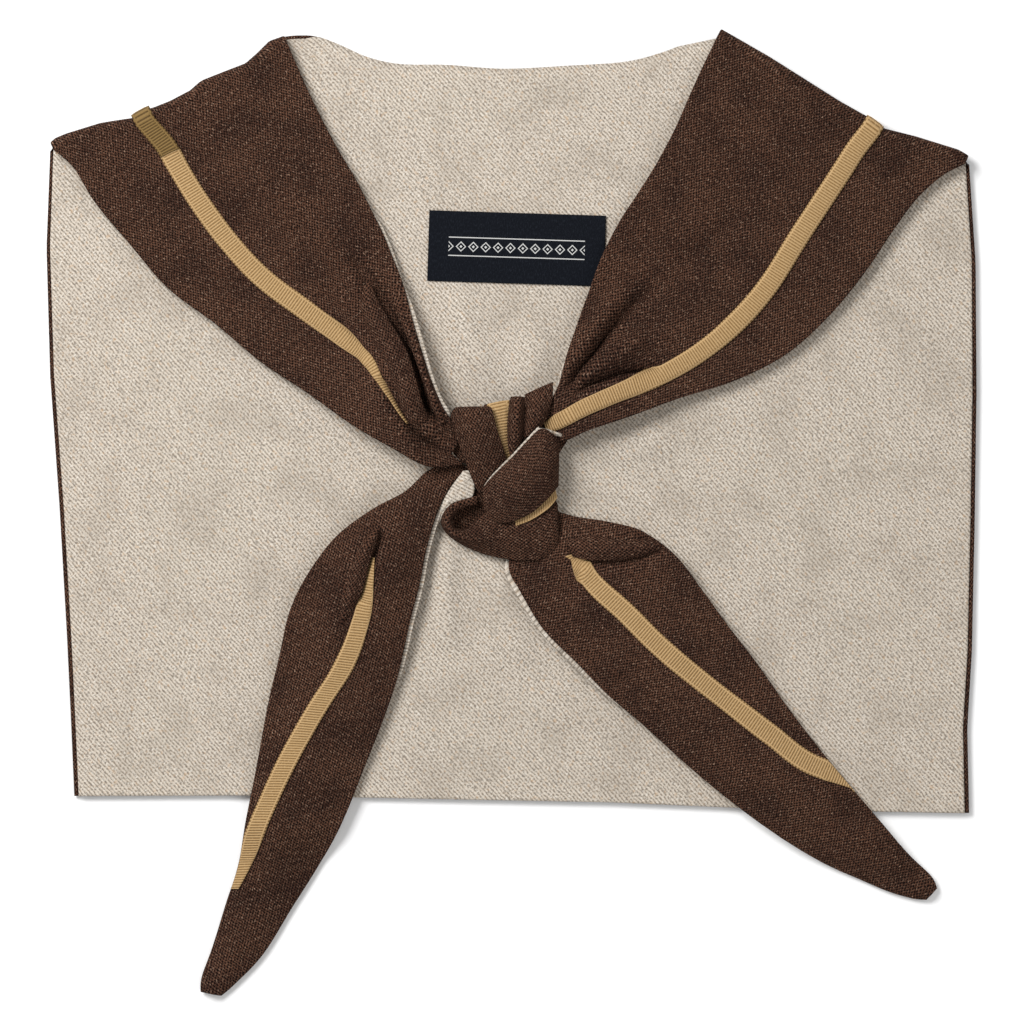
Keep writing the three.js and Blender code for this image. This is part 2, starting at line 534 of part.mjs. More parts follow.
// A closed piece of cloth: every grid point is raised by low and by high along the shared directions,
// and the rim is closed. Grids that share points become one body.
function clothSolid(grids, normals, low, high) {
  const positions = [];
  const index = [];
  const numbers = new Map();
  const number = (point) => {
    const name = key(point);
    if (!numbers.has(name)) {
      const normal = normals.get(name);
      const bottom = point.clone().addScaledVector(normal, low);
      const top = point.clone().addScaledVector(normal, high);
      numbers.set(name, positions.length / 3);
      positions.push(bottom.x, bottom.y, bottom.z, top.x, top.y, top.z);
    }
    return numbers.get(name);
  };
  const edges = new Map();
  const face = (a, b, c) => {
    index.push(a + 1, b + 1, c + 1, a, c, b);
    for (const [from, to] of [[a, b], [b, c], [c, a]]) {
      edges.set(`${from}/${to}`, [from, to]);
    }
  };
  for (const grid of grids) {
    for (let i = 0; i < grid.length - 1; i += 1) {
      for (let j = 0; j < grid[0].length - 1; j += 1) {
        const a = number(grid[i][j]);
        const b = number(grid[i + 1][j]);
        const c = number(grid[i + 1][j + 1]);
        const d = number(grid[i][j + 1]);
        face(a, b, c);
        face(a, c, d);
      }
    }
  }
  for (const [from, to] of edges.values()) {
    if (!edges.has(`${to}/${from}`)) {
      index.push(from, to, to + 1, from, to + 1, from + 1);
    }
  }
  const geometry = new THREE.BufferGeometry();
  geometry.setAttribute('position', new THREE.Float32BufferAttribute(positions, 3));
  geometry.setIndex(index);
  geometry.computeVertexNormals();
  return geometry;
}

const collar = new THREE.Group();

function addPiece(name, geometry, color, roughness) {
  const material = new THREE.MeshStandardMaterial({ color, roughness, metalness: 0 });
  const mesh = new THREE.Mesh(geometry, material);
  mesh.name = name;
  collar.add(mesh);
}

const CLOTH_ROUGHNESS = 0.95;
const RIBBON_ROUGHNESS = 0.7;

// Shell, lining and ribbons are all raised from the same surface, so they stay parallel
const OUTER_LOW = HALF_AIR;
const OUTER_HIGH = PAIR_HALF;
const RIBBON_LOW = PAIR_HALF + AIR;
const RIBBON_HIGH = RIBBON_LOW + RIBBON_THICKNESS;

const back = backGrid();
const lastBackColumn = back[0].length - 1;
const leftBlock = [
  ...columns(back, 0, FRONT_STEPS),
  ...flip(rollRows(leftPlan)),
  ...flip(frontRows(leftPlan, LEFT_FOLDS)),
];
const middleBlock = columns(back, FRONT_STEPS, lastBackColumn - FRONT_STEPS);
const rightBlock = [
  ...columns(back, lastBackColumn - FRONT_STEPS, lastBackColumn),
  ...rollRows(rightPlan),
  ...frontRows(rightPlan, RIGHT_FOLDS),
];

// Shares of a front's length: where the lining starts to look out, and over how much it comes
const PEEK_START = 0.2;
const PEEK_SPAN = 0.5;

function addCollarCloth() {
  const shellGrids = [leftBlock, middleBlock, rightBlock];
  const shellNormals = normalsOf(shellGrids);
  const shell = clothSolid(shellGrids, shellNormals, OUTER_LOW, OUTER_HIGH);
  addPiece('collar_shell', shell, BROWN, CLOTH_ROUGHNESS);
  const firstFront = back.length + ROLL_STEPS - 1;
  const lining = (grid, outerSide) => {
    const trimmed = inset(grid, { [outerSide]: LINING_RIM });
    const innerSide = outerSide === 'left' ? 'right' : 'left';
    const peeked = inset(trimmed, { [innerSide]: -LINING_PEEK });
    const shown = (i) => {
      const past = (i - firstFront) / FRONT_ROWS;
      return i < firstFront ? 0 : smooth((past - PEEK_START) / PEEK_SPAN);
    };
    return trimmed.map((row, i) => row.map((point, j) => point.clone().lerp(peeked[i][j], shown(i))));
  };
  const liningGrids = [lining(leftBlock, 'left'), middleBlock, lining(rightBlock, 'right')];
  const liningNormals = normalsOf(liningGrids);
  const under = clothSolid(liningGrids, liningNormals, -OUTER_HIGH, -OUTER_LOW);
  addPiece('collar_lining', under, BEIGE, CLOTH_ROUGHNESS);
  return shellNormals;
}

// Rows of the back that lie under the hem ribbon, counted from the hem
const HEM_RIBBON_FIRST = 1;
const HEM_RIBBON_LAST = 2;
const RIBBON_COLUMN = FRONT_OUTER_STEPS;

// Rows of each front that stay bare at the knot
const LEFT_BARE_ROWS = 3;
const RIGHT_BARE_ROWS = 1;

function addCollarRibbons(normals) {
  const sew = (name, grid) => {
    const lookup = new Map(normals);
    const ends = inset(grid, { start: AIR, end: AIR });
    for (const index of [0, grid.length - 1]) {
      grid[index].forEach((point, j) => lookup.set(key(ends[index][j]), normals.get(key(point))));
    }
    addPiece(name, clothSolid([ends], lookup, RIBBON_LOW, RIBBON_HIGH), MUSTARD, RIBBON_ROUGHNESS);
  };
  const lastFront = leftBlock.length - 1;
  const leftRibbon = columns(leftBlock, RIBBON_COLUMN, RIBBON_COLUMN + 1);
  sew('ribbon_left', leftRibbon.slice(HEM_RIBBON_LAST, lastFront - LEFT_BARE_ROWS));
  const rightRibbon = columns(rightBlock, FRONT_INNER_STEPS, FRONT_INNER_STEPS + 1);
  sew('ribbon_right', rightRibbon.slice(HEM_RIBBON_LAST, lastFront - RIGHT_BARE_ROWS));
  const hem = columns(back, RIBBON_COLUMN, lastBackColumn - RIBBON_COLUMN);
  const hemRows = hem.slice(HEM_RIBBON_FIRST, HEM_RIBBON_LAST + 1);
  sew('ribbon_hem', hemRows);
}

function addLabel() {
  const geometry = new THREE.BoxGeometry(LABEL_WIDTH, LABEL_HEIGHT, LABEL_THICKNESS);
  addPiece('label', geometry, BLACK, RIBBON_ROUGHNESS);
  const label = collar.children[collar.children.length - 1];
  const middle = place(LABEL_PLACE.across, LABEL_PLACE.down);
  const level = BACK_LEVEL + PAIR_HALF + AIR + LABEL_THICKNESS / 2;
  label.position.set(middle.x, middle.y, level);
  label.rotation.z = THREE.MathUtils.degToRad(LABEL_TURN);
}

// Height of a tail's reference surface: over the back, and down on the surface past the hem
function tailLevel(point) {
  const hem = place(0, lookUp(HEM, 'along', 'down', clamp01(point.x / BACK_WIDTH + 0.5))).y;
  const past = (hem - point.y - TAIL_REACH) / TAIL_DROP;
  return mix(TAIL_LEVEL, FLOOR_LEVEL, smooth(past));
}

const TAIL_ROWS = 18;
const TAIL_SIDE_STEPS = 3;

// A tail's grid: rows from the knot to the tip, columns from left to right, with a pair of columns at
// the ribbon's edges
function tailGrid(table, folds) {
  const left = rail(table, 'leftAcross', 'leftDown');
  const right = rail(table, 'rightAcross', 'rightDown');
  const stations = table.map((row, i) => ({ ...row, along: i / (table.length - 1) }));
  const rows = [];
  for (let i = 0; i <= TAIL_ROWS; i += 1) {
    const t = i / TAIL_ROWS;
    const a = left.getPoint(t);
    const b = right.getPoint(t);
    const span = b.clone().sub(a);
    const middle = lookUp(stations, 'along', 'ribbon', t);
    const shown = Math.max(NARROWEST_RIBBON, lookUp(stations, 'along', 'width', t));
    const width = (RIBBON_WIDTH * shown) / span.length();
    const low = Math.max(TAIL_MARGIN, middle - width / 2);
    const high = Math.min(1 - TAIL_MARGIN, Math.max(low + NARROWEST_BAND, middle + width / 2));
    const shares = [];
    for (let j = 0; j <= TAIL_SIDE_STEPS; j += 1) {
      shares.push((low * j) / TAIL_SIDE_STEPS);
    }
    for (let j = 0; j <= TAIL_SIDE_STEPS; j += 1) {
      shares.push(mix(high, 1, j / TAIL_SIDE_STEPS));
    }
    rows.push(shares.map((share) => {
      const point = a.clone().addScaledVector(span, share);
      const narrow = Math.min(1, span.length() / (ARCH_SPAN * TAIL_ARCH));
      const arch = TAIL_ARCH * Math.sin(Math.PI * share) * narrow * smooth(t / TAIL_EASE);
      const relief = Math.max(-DEEPEST_DENT * arch, foldHeight(folds, point));
      return lift(point, tailLevel(point) + arch + relief);
    }));
  }
  return { rows, stations };
}

function addTail(name, table, folds) {
  const { rows, stations } = tailGrid(table, folds);
  const normals = normalsOf([rows]);
  addPiece(`${name}_shell`, clothSolid([rows], normals, OUTER_LOW, OUTER_HIGH), BROWN, CLOTH_ROUGHNESS);
  addPiece(`${name}_lining`, clothSolid([rows], normals, -OUTER_HIGH, -OUTER_LOW), BEIGE, CLOTH_ROUGHNESS);
  const shown = (i) => lookUp(stations, 'along', 'width', i / TAIL_ROWS) > SHOWN_RIBBON;
  const ribbonRows = columns(rows, TAIL_SIDE_STEPS, TAIL_SIDE_STEPS + 1).filter((row, i) => shown(i));
  const ribbon = clothSolid([ribbonRows], normals, RIBBON_LOW, RIBBON_HIGH);
  addPiece(`${name}_ribbon`, ribbon, MUSTARD, RIBBON_ROUGHNESS);
}

const PASS_STEPS = 6;
const PASS_ROWS_PER_STEP = 2;

// A pass of the knot: a band that arches between its two edges
function passGrid(table) {
  const left = rail(table, 'leftAcross', 'leftDown');
  const right = rail(table, 'rightAcross', 'rightDown');
  const stations = table.map((row, i) => ({ ...row, along: i / (table.length - 1) }));
  const count = (table.length - 1) * PASS_ROWS_PER_STEP;
  const rows = [];
  for (let i = 0; i <= count; i += 1) {
    const t = i / count;
    const height = (column) => (lookUp(stations, 'along', column, t) / 100) * KNOT_HEIGHT;
    const a = left.getPoint(t);
    const b = right.getPoint(t);
    const row = [];
    for (let j = 0; j <= PASS_STEPS; j += 1) {
      const share = j / PASS_STEPS;
      const swell = height('crown') - mix(height('left'), height('right'), 0.5);
      const level = mix(height('left'), height('right'), share) + swell * Math.sin(Math.PI * share);
      row.push(lift(a.clone().lerp(b, share), level));
    }
    rows.push(row);
  }
  return rows;
}

function addPass(name, table, color) {
  const rows = passGrid(table);
  const normals = normalsOf([rows]);
  const half = KNOT_CLOTH / 2;
  addPiece(name, clothSolid([rows], normals, -half, half), color, CLOTH_ROUGHNESS);
  return { rows, normals };
}

// Columns of the cloth below the rise that carry the stripe, and rows left bare at its start
const UNDER_RIBBON_FIRST = 3;
const UNDER_RIBBON_LAST = 5;
const UNDER_BARE_ROWS = 1;

// Columns of the front pass that its lining lies under, and rows left bare at its start
const FRONT_LINING_COLUMNS = 1;
const FRONT_BARE_ROWS = 3;

function addKnot() {
  addPass('knot_rise', KNOT_RISE, BROWN);
  const under = addPass('knot_under', KNOT_UNDER, BROWN);
  const top = KNOT_CLOTH / 2;
  const stripe = columns(under.rows, UNDER_RIBBON_FIRST, UNDER_RIBBON_LAST).slice(UNDER_BARE_ROWS);
  const ribbon = clothSolid([stripe], under.normals, top + AIR, top + AIR + RIBBON_THICKNESS);
  addPiece('knot_rise_ribbon', ribbon, MUSTARD, RIBBON_ROUGHNESS);
  addPass('knot_fold', KNOT_FOLD, BROWN);
  addPass('knot_gather', KNOT_GATHER, BROWN);
  const front = addPass('knot_front', KNOT_FRONT, BROWN);
  const covered = columns(front.rows, 0, FRONT_LINING_COLUMNS).slice(FRONT_BARE_ROWS);
  const peeking = inset(covered, { left: -FRONT_LINING_PEEK });
  const facing = clothSolid([peeking], normalsOf([peeking]), -top - AIR - FRONT_LINING_CLOTH, -top - AIR);
  addPiece('knot_front_lining', facing, BEIGE, CLOTH_ROUGHNESS);
  addPass('knot_loop', KNOT_LOOP, BROWN);
  addPass('tail_left_turn', TAIL_TURN, BEIGE);
}

const shellNormals = addCollarCloth();
addCollarRibbons(shellNormals);
addLabel();
addTail('tail_left', LEFT_TAIL, LEFT_TAIL_FOLDS);
addTail('tail_right', RIGHT_TAIL, RIGHT_TAIL_FOLDS);
addKnot();

// Stands the collar on z = 0 with its footprint centred on the origin
const box = new THREE.Box3().setFromObject(collar, true);
const middle = box.getCenter(new THREE.Vector3());
collar.position.set(-middle.x, -middle.y, -box.min.z);
collar.updateMatrixWorld(true);

export default collar;
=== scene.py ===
import logging
from dataclasses import dataclass, field
from enum import Enum
from math import radians

import bpy
import numpy as np
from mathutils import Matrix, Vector


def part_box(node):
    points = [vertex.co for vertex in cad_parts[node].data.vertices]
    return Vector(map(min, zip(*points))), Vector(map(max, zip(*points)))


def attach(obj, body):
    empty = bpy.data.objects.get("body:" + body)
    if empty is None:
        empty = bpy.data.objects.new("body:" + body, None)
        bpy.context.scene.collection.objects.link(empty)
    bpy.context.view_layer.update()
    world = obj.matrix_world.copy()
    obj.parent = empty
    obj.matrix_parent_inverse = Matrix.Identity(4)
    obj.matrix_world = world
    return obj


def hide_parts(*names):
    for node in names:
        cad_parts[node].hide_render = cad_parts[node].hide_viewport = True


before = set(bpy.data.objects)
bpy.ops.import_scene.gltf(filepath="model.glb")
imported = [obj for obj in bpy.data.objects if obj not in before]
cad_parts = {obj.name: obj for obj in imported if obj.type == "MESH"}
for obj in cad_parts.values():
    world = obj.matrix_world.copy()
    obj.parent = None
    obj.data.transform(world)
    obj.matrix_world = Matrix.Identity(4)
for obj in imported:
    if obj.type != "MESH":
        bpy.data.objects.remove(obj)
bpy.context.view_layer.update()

LOG = logging.getLogger("sailor_collar")
Array = np.ndarray
Material = bpy.types.Material
Node = bpy.types.Node
NodeTree = bpy.types.NodeTree
Object = bpy.types.Object
Socket = bpy.types.NodeSocket

MM = 0.001
PIXEL = 0.34 * MM
PICTURE = 1024
PICTURE_NECK_ROW = 30
NARROWEST_SHEET = 10.1 * MM
LEAST_AREA_SHARE = 0.31
NOISE_CELLS = 64
FOLD_START = (-0.045, 0.3)
FOLD_END = (-0.075, 0.25)
RIM_SHARE = 0.12
ROW_LIFT = 10.0
TINY = 1e-12
TWO_PI = 6.2831853
WELD_DISTANCE = 0.001 * MM


class Finish(Enum):
    """The finishes of the pieces."""

    OUTER = "outer_cloth"
    LINING = "lining_twill"
    RIBBON = "ribbon"
    LABEL = "label_cloth"


@dataclass(frozen=True)
class Sizes:
    """Driving sizes of the collar, in metres."""

    back_width: float = 315 * MM
    back_length: float = 263 * MM
    cloth: float = 1.0 * MM
    air: float = 0.3 * MM
    knot_cloth: float = 1.2 * MM
    lining_rim: float = 1.6 * MM
    lining_peek: float = 1.0 * MM
    ribbon_width: float = 7 * MM
    ribbon_thickness: float = 0.5 * MM
    ribbon_side_inset: float = 24 * MM
    ribbon_hem_inset: float = 22 * MM
    roll_radius: float = 2.2 * MM
    knot_height: float = 19 * MM
    front_lift: float = 6 * MM
    tail_reach: float = 7 * MM
    tail_drop: float = 16 * MM
    tail_arch: float = 2.2 * MM
    fold_depth: float = 2.4 * MM

    @property
    def half_air(self) -> float:
        """Half of the air between the outer cloth and the lining."""
        return self.air / 2

    @property
    def pair_half(self) -> float:
        """From the reference surface to the far side of either cloth."""
        return self.half_air + self.cloth

    @property
    def back_level(self) -> float:
        """Height of the back's reference surface."""
        return self.ribbon_thickness + self.air + self.pair_half

    @property
    def front_level(self) -> float:
        """Height of the fronts' reference surface."""
        return self.back_level + 2 * self.roll_radius

    @property
    def tail_level(self) -> float:
        """Height of a tail's reference surface over the back."""
        return self.back_level + 2 * self.pair_half + self.air


S = Sizes()

# In every table across is per cent of the back's width from the middle, and down is per cent of the
# back's length from the neck points. Each pair is (across, down).

LEFT_INNER = ((-24.5, 1), (-22.5, 6.5), (-20.5, 11.5), (-18.5, 16), (-17, 19), (-15.5, 22.5), (-13.5, 27.5),
              (-11.5, 34), (-10, 40), (-8.5, 46), (-6.7, 50), (-4.8, 51.8))
LEFT_RIBBON = ((-40, 10.5), (-37.7, 14), (-36.3, 17), (-33.8, 22), (-30.8, 27), (-27, 32), (-22.6, 36),
               (-18.2, 39.7), (-14.8, 43), (-12.8, 47), (-10.3, 51), (-6, 53.5))
LEFT_OUTER = ((-49.7, 14.5), (-47.5, 17), (-45, 22), (-41.3, 27.5), (-37, 33.5), (-32, 38), (-27, 43),
              (-22, 47), (-17.3, 51), (-13, 54), (-9, 56.5), (-5.2, 56.2))

RIGHT_INNER = ((22.5, 0), (20.5, 5), (19, 9), (17.5, 13), (15.5, 17.5), (13.4, 21.5), (11.5, 25), (9.6, 29.5),
               (8.2, 34), (7, 38), (5.6, 43.3), (4.6, 47.3), (3, 49.5))
RIGHT_RIBBON = ((39, 12), (37.3, 14.7), (35.7, 17.8), (33.3, 22.3), (30.5, 27.5), (27.5, 33.2), (24, 38),
                (19.8, 42), (15.3, 45), (11, 47), (7.5, 48.8), (5.2, 50.2), (3, 51.2))
RIGHT_OUTER = ((49.3, 16), (46.7, 18), (43.7, 21.5), (41, 26), (37.8, 31.7), (34, 37.2), (29.5, 42), (24, 45.4),
               (18, 47.7), (12.8, 50), (8.3, 51.8), (5.6, 53.2), (3, 53))

# Share of the ribbon's width that shows along a front, down to its end: (along, width)
LEFT_RIBBON_WIDTH = ((0, 1), (0.55, 1), (0.64, 0.86), (0.71, 0.68), (0.77, 0.42), (0.84, 0.2), (0.9, 0.08),
                     (1, 0.05))
RIGHT_RIBBON_WIDTH = ((0, 1), (0.5, 1), (0.68, 0.86), (0.82, 0.8), (0.92, 0.76), (0.97, 0.55), (1, 0.4))
LEFT_RIBBON_END = 0.9
RIGHT_RIBBON_END = 0.985

# Waves of the shoulder folds from the neck to the tip: (share, millimetres outward)
LEFT_SHOULDER = ((0, 0.3), (0.06, 0.9), (0.12, -0.9), (0.18, -2.3), (0.28, -1.5), (0.365, -0.9), (0.42, -2.2),
                 (0.51, -2.4), (0.58, -1.9), (0.68, -0.3), (0.79, 1.1), (0.93, 1), (0.975, 0.6), (1, -0.3))
RIGHT_SHOULDER = ((0, 0), (0.2, 0.3), (0.5, -0.4), (0.8, 0.4), (0.96, 0), (1, -1))

NECK_EDGE = ((-24.7, 0.95), (-23, 0.75), (-21, 0.9), (-18.5, 2), (-15.5, 3.6), (-12, 4.5), (-7, 4.6),
             (-1, 5.1), (6, 4.7),
             (12, 4.2), (16, 3), (19.5, 1.3))

# Sides of the back, from the shoulder tips to the hem: (along, left, right)
SIDES = ((0, -49.8, 49.3), (0.15, -50.2, 50), (0.35, -49.8, 50.1), (0.55, -48.8, 49.9), (0.75, -48, 49.6),
         (0.87, -47.6, 49.1), (1, -47.2, 49.3))

# Hem of the back, from left to right: (along, down)
HEM = ((0, 99), (0.2, 98.9), (0.6, 99.8), (0.8, 100.8), (1, 101.2))

LEFT_TAIL_LEFT = ((-6.5, 55.9), (-9.1, 57.1), (-11.6, 59.9), (-15.3, 62.3), (-19, 65.7), (-22, 70.5),
                  (-23.9, 75.2),
                  (-25, 81), (-26.2, 87), (-27.5, 95.5), (-28.6, 102), (-29.5, 108), (-30.8, 113),
                  (-32.2, 118.5),
                  (-33.3, 122.3), (-33.4, 124.3))
LEFT_TAIL_RIGHT = ((-4.3, 56.6), (-6.2, 58.4), (-7.5, 60.8), (-8.4, 63.6), (-9.3, 67.5), (-10, 71.9),
                   (-11, 76.5),
                   (-12.2, 83), (-13.7, 88.5), (-16, 95.5), (-18.2, 102), (-20.7, 107.5), (-23.6, 113),
                   (-26.7, 119),
                   (-29.7, 122.8), (-31.5, 124.6))
# Middle of the ribbon as a share of a tail's row, and its width as a share: one pair per row
LEFT_TAIL_RIBBON = ((0.45, 0.1), (0.45, 0.1), (0.45, 0.1), (0.46, 0.12), (0.5, 0.2), (0.56, 0.55),
                    (0.6, 0.85), (0.54, 1),
                    (0.42, 1), (0.26, 1), (0.155, 1), (0.05, 1), (-0.08, 1), (-0.3, 1), (-0.5, 1), (-0.5, 1))

RIGHT_TAIL_LEFT = ((0, 67), (-0.3, 69.8), (1.2, 73.2), (3.5, 77.5), (7, 81.7), (10.5, 86), (14.4, 90),
                   (18.6, 94.6), (23.4, 99.4), (28.2, 103.6), (33.3, 107.3), (37.4, 109.6), (40.6, 111.2),
                   (43, 112), (44.7, 112.2))
RIGHT_TAIL_RIGHT = ((4.3, 62), (7, 63), (10.5, 63.7), (14.3, 65), (17.6, 68), (20.3, 72.2), (23.2, 77),
                    (26.4, 82),
                    (29.5, 87.3), (32.8, 92.5), (36.1, 97.3), (39.4, 102), (42.5, 106.3), (45, 109.3),
                    (45.7, 111))
RIGHT_TAIL_RIBBON = ((0.6, 0.5), (0.61, 0.55), (0.565, 0.62), (0.485, 0.95), (0.48, 1), (0.5, 1), (0.54, 1),
                     (0.61, 1),
                     (0.7, 1), (0.8, 1), (1.07, 1), (1.4, 1), (1.4, 1), (1.4, 1), (1.4, 1))

# Gathered folds: a path of (across, down) pairs, a height as a share of the fold depth, and a breadth in
# per cent of the back's width
LEFT_FOLDS = ((((-17.5, 29), (-15.6, 32), (-13.7, 35.6), (-12.1, 38.8), (-10.6, 42), (-9.8, 45.2), (-9.3, 48),
              (-8.9, 49.6)), -2.9, 0.66),
              (((-18, 34), (-15, 38.5), (-12.6, 43), (-11, 47), (-9.8, 50)), 0.5, 1.2),
              (((-13.4, 30), (-10.9, 36), (-9.2, 41), (-7.9, 46)), 0.9, 0.8),
              (((-14.2, 44.5), (-12.2, 49), (-10.4, 52), (-7.8, 54.4)), -1.8, 0.6),
              (((-9.6, 51), (-7.8, 53.2), (-5.6, 54.4)), 0.8, 1),
              (((-10.2, 47), (-9, 49.2), (-7.6, 50.3)), -2, 0.7),
              (((-31, 22), (-26, 25.5), (-21, 30), (-17.5, 33)), -0.5, 1.1),
              (((-29, 18), (-24, 22), (-18, 27)), 0.35, 1.4),
              (((-36, 15), (-33.5, 16.5), (-31, 17)), -0.6, 0.8),
              (((-20.5, 33), (-17.6, 38), (-15.5, 43)), -0.5, 1))
RIGHT_FOLDS = ((((15.4, 33), (12.7, 36.2), (10.6, 38.8), (9, 41.4), (7.3, 44), (5.9, 46.5)), -2.4, 0.65),
               (((16, 43.8), (13, 44.3), (10.6, 44.9), (8.4, 45.9), (6.6, 47.2)), -1.9, 0.55),
               (((14.6, 39.5), (12.2, 41.4), (9.5, 43.4), (7.3, 45.4)), 1.0, 0.85),
               (((13.4, 32.5), (10.8, 35.6), (8.4, 39.5), (6.4, 43.5)), 0.7, 1),
               (((26, 22), (21.5, 27.5), (17, 32)), -0.5, 1.3), (((31, 12), (28, 18), (25, 25)), 0.3, 1.6),
               (((22, 37), (16, 40), (11, 42.5)), 0.4, 1.1))
LEFT_TAIL_FOLDS = ((((-13.8, 64.5), (-15, 67.5), (-15.9, 70.5), (-16.6, 74)), -1.9, 0.7),
                   (((-15.6, 65), (-17.2, 69), (-18.6, 74), (-19.6, 80)), 0.5, 1.2),
                   (((-11.5, 65), (-13, 71), (-14, 80)), 0.35, 1.8),
                   (((-13.2, 72), (-13.8, 78)), -0.35, 1),
                   (((-23, 92), (-24.5, 101), (-26, 108)), 0.25, 2))
RIGHT_TAIL_FOLDS = ((((6, 67.8), (9, 68.1), (12.5, 67.9), (16.4, 66)), -2.0, 0.8),
                    (((5, 65.2), (9, 65.2), (14, 65.8)), 0.5, 1.2),
                    (((0.5, 70), (4, 70.6), (7.5, 71.5)), -1.5, 1.3),
                    (((3, 73.5), (8, 79), (12, 84)), 0.35, 2),
                    (((18, 80), (22, 86), (27, 93)), -0.25, 1.6))

# Slack in the back's lining: the same columns, with heights in millimetres
BACK_SLACK = ((((-6, 9), (-1, 11.5), (4, 12)), -0.3, 2), (((-8, 18), (-6, 19.5), (-2, 20)), -0.25, 1.5),
              (((-23, 3), (-21.8, 5), (-20.6, 8)), 0.9, 0.8), (((-20.6, 3.5), (-19.6, 6.5),
              (-19, 10)), 0.7, 0.9),
              (((2, 16), (5, 20), (5.5, 24)), 0.25, 2), (((-19, 8), (-15, 13)), 0.3, 3),
              (((-43, 40), (-41, 70), (-38, 92)), 0.3, 4), (((43, 30), (41, 55), (44, 80)), 0.3, 4),
              (((-2, 86), (8, 93), (16, 97)), 0.3, 3), (((20, 62), (30, 70), (38, 84)), 0.25, 4),
              (((-6.8, 34), (-4.8, 39), (-2.7, 45)), 2.4, 1.2), (((1.8, 37), (2.2, 41), (1.6, 46)), 2.0, 0.9),
              (((-6.6, 65), (-7.2, 72), (-7, 80)), 2.2, 1.2), (((-2, 69), (-1, 75), (1.5, 82)), 1.4, 1.5),
              (((6.5, 52.5), (12, 54), (18, 52)), 1.8, 1.3), (((-14, 59), (-20, 59), (-26, 55)), 1.4, 1.5))

# Passes of the knot: (left across, left down, right across, right down, left, crown, right), the last
# three being heights in per cent of the knot's height
KNOT_RISE = ((-6.1, 48.9, -2.3, 48.9, 52, 60, 62), (-6.5, 50, -2.1, 49.4, 58, 80, 66),
             (-6, 52.3, -1.6, 51.8, 58, 84, 68), (-5.1, 55.3, -0.9, 54.3, 54, 74, 60),
             (-4.3, 58, -0.5, 56.8, 48, 60, 52), (-3.5, 60, -1.2, 58.7, 42, 48, 44))
KNOT_UNDER = ((-3, 48.5, -0.2, 48, 42, 42, 42), (-3, 49.6, -0.2, 48.8, 46, 50, 46),
              (-2.6, 52, -0.2, 51.5, 46, 50, 46), (-2.2, 54.5, -0.1, 54, 43, 46, 43),
              (-1.8, 57.5, 0.2, 56.5, 41, 43, 41))
KNOT_FOLD = ((-0.1, 47.6, 1.4, 47.6, 52, 58, 46), (-0.2, 48.4, 1.5, 48.4, 58, 78, 48),
             (-0.4, 51, 1.4, 51, 58, 78, 48), (-0.4, 53.7, 1.4, 53, 57, 66, 48),
             (-0.1, 55.3, 0.9, 54.5, 54, 60, 48))
KNOT_GATHER = ((1.4, 47.2, 4.4, 45.6, 58, 62, 60), (1.35, 48.8, 4.3, 47.6, 58, 76, 64),
               (1.3, 51.2, 3.7, 50, 58, 76, 62), (1.3, 53, 2.9, 51.7, 56, 62, 60))
KNOT_FRONT = ((4.6, 54.8, 4.7, 59, 40, 42, 40), (4.9, 53.2, 4.8, 59.1, 60, 66, 54),
              (4, 52, 4.4, 59.7, 76, 86, 66),
              (3, 51.7, 3.6, 60.8, 79, 95, 70), (1.6, 53.3, 2.2, 62.3, 80, 98, 71),
              (0.2, 55.1, 0.6, 63.3, 79, 94, 71), (-1.1, 56.6, -0.9, 63.7, 76, 88, 69),
              (-2.4, 58.2, -2.2, 63, 69, 76, 66), (-3.1, 59.3, -3, 61.5, 62, 65, 61))
KNOT_LOOP = ((-3.7, 60.2, -3.6, 61.3, 40, 42, 40), (-5.1, 60.7, -4.9, 61.6, 44, 47, 42),
             (-6.4, 61.3, -5.9, 62.1, 46, 52, 42), (-7.2, 62.4, -6.4, 62.8, 42, 56, 40),
             (-7.5, 63.6, -6.4, 63.6, 38, 58, 38), (-7, 64.9, -6.1, 64.5, 33, 58, 38),
             (-5.6, 66.2, -4.9, 64.7, 30, 58, 42), (-3.8, 67.3, -3.9, 63.6, 30, 57, 46),
             (-1.7, 68.1, -2.1, 61.8, 33, 57, 48), (0.9, 68.5, 0.2, 60.8, 39, 60, 50),
             (3.3, 68.3, 2.7, 60.8, 42, 58, 50), (4.8, 66.8, 4.3, 60.5, 42, 52, 46),
             (4.9, 65.7, 4.8, 61.4, 36, 40, 36))
KNOT_SLIVER = ((0.2, 62.6, 0.4, 64.1, 64, 65, 66), (1.9, 61.2, 2.1, 63.3, 66, 67, 67),
               (3.5, 59.6, 3.9, 61.9, 63, 64, 63),
               (4.5, 58.3, 4.9, 60.5, 57, 57.5, 55))
LOOP_INSIDE = ((-6.6, 61.6, -3, 58.8, 18, 20, 34), (-6.9, 63.6, -2.9, 60.4, 18, 19, 30),
               (-5.6, 65.4, -2.4, 61.8, 18, 19, 26),
               (-3.5, 66, -2, 63, 18, 20, 24))
FRONT_ROLL = ((-15.6, 32.6, -15.2, 32.8, 44, 46, 44), (-16.2, 35.9, -14.5, 34.9, 46, 58, 49),
              (-15.1, 39.4, -13, 38.1, 52, 65, 55), (-13.6, 42.9, -11.3, 41.6, 61, 74, 65),
              (-12.4, 46.3, -10.4, 45, 67, 81, 71), (-11.7, 48.9, -9.8, 47.6, 70, 84, 74),
              (-10.8, 50.9, -9.3, 49.4, 64, 77, 67), (-9.8, 52, -8.7, 50.6, 55, 64, 56))
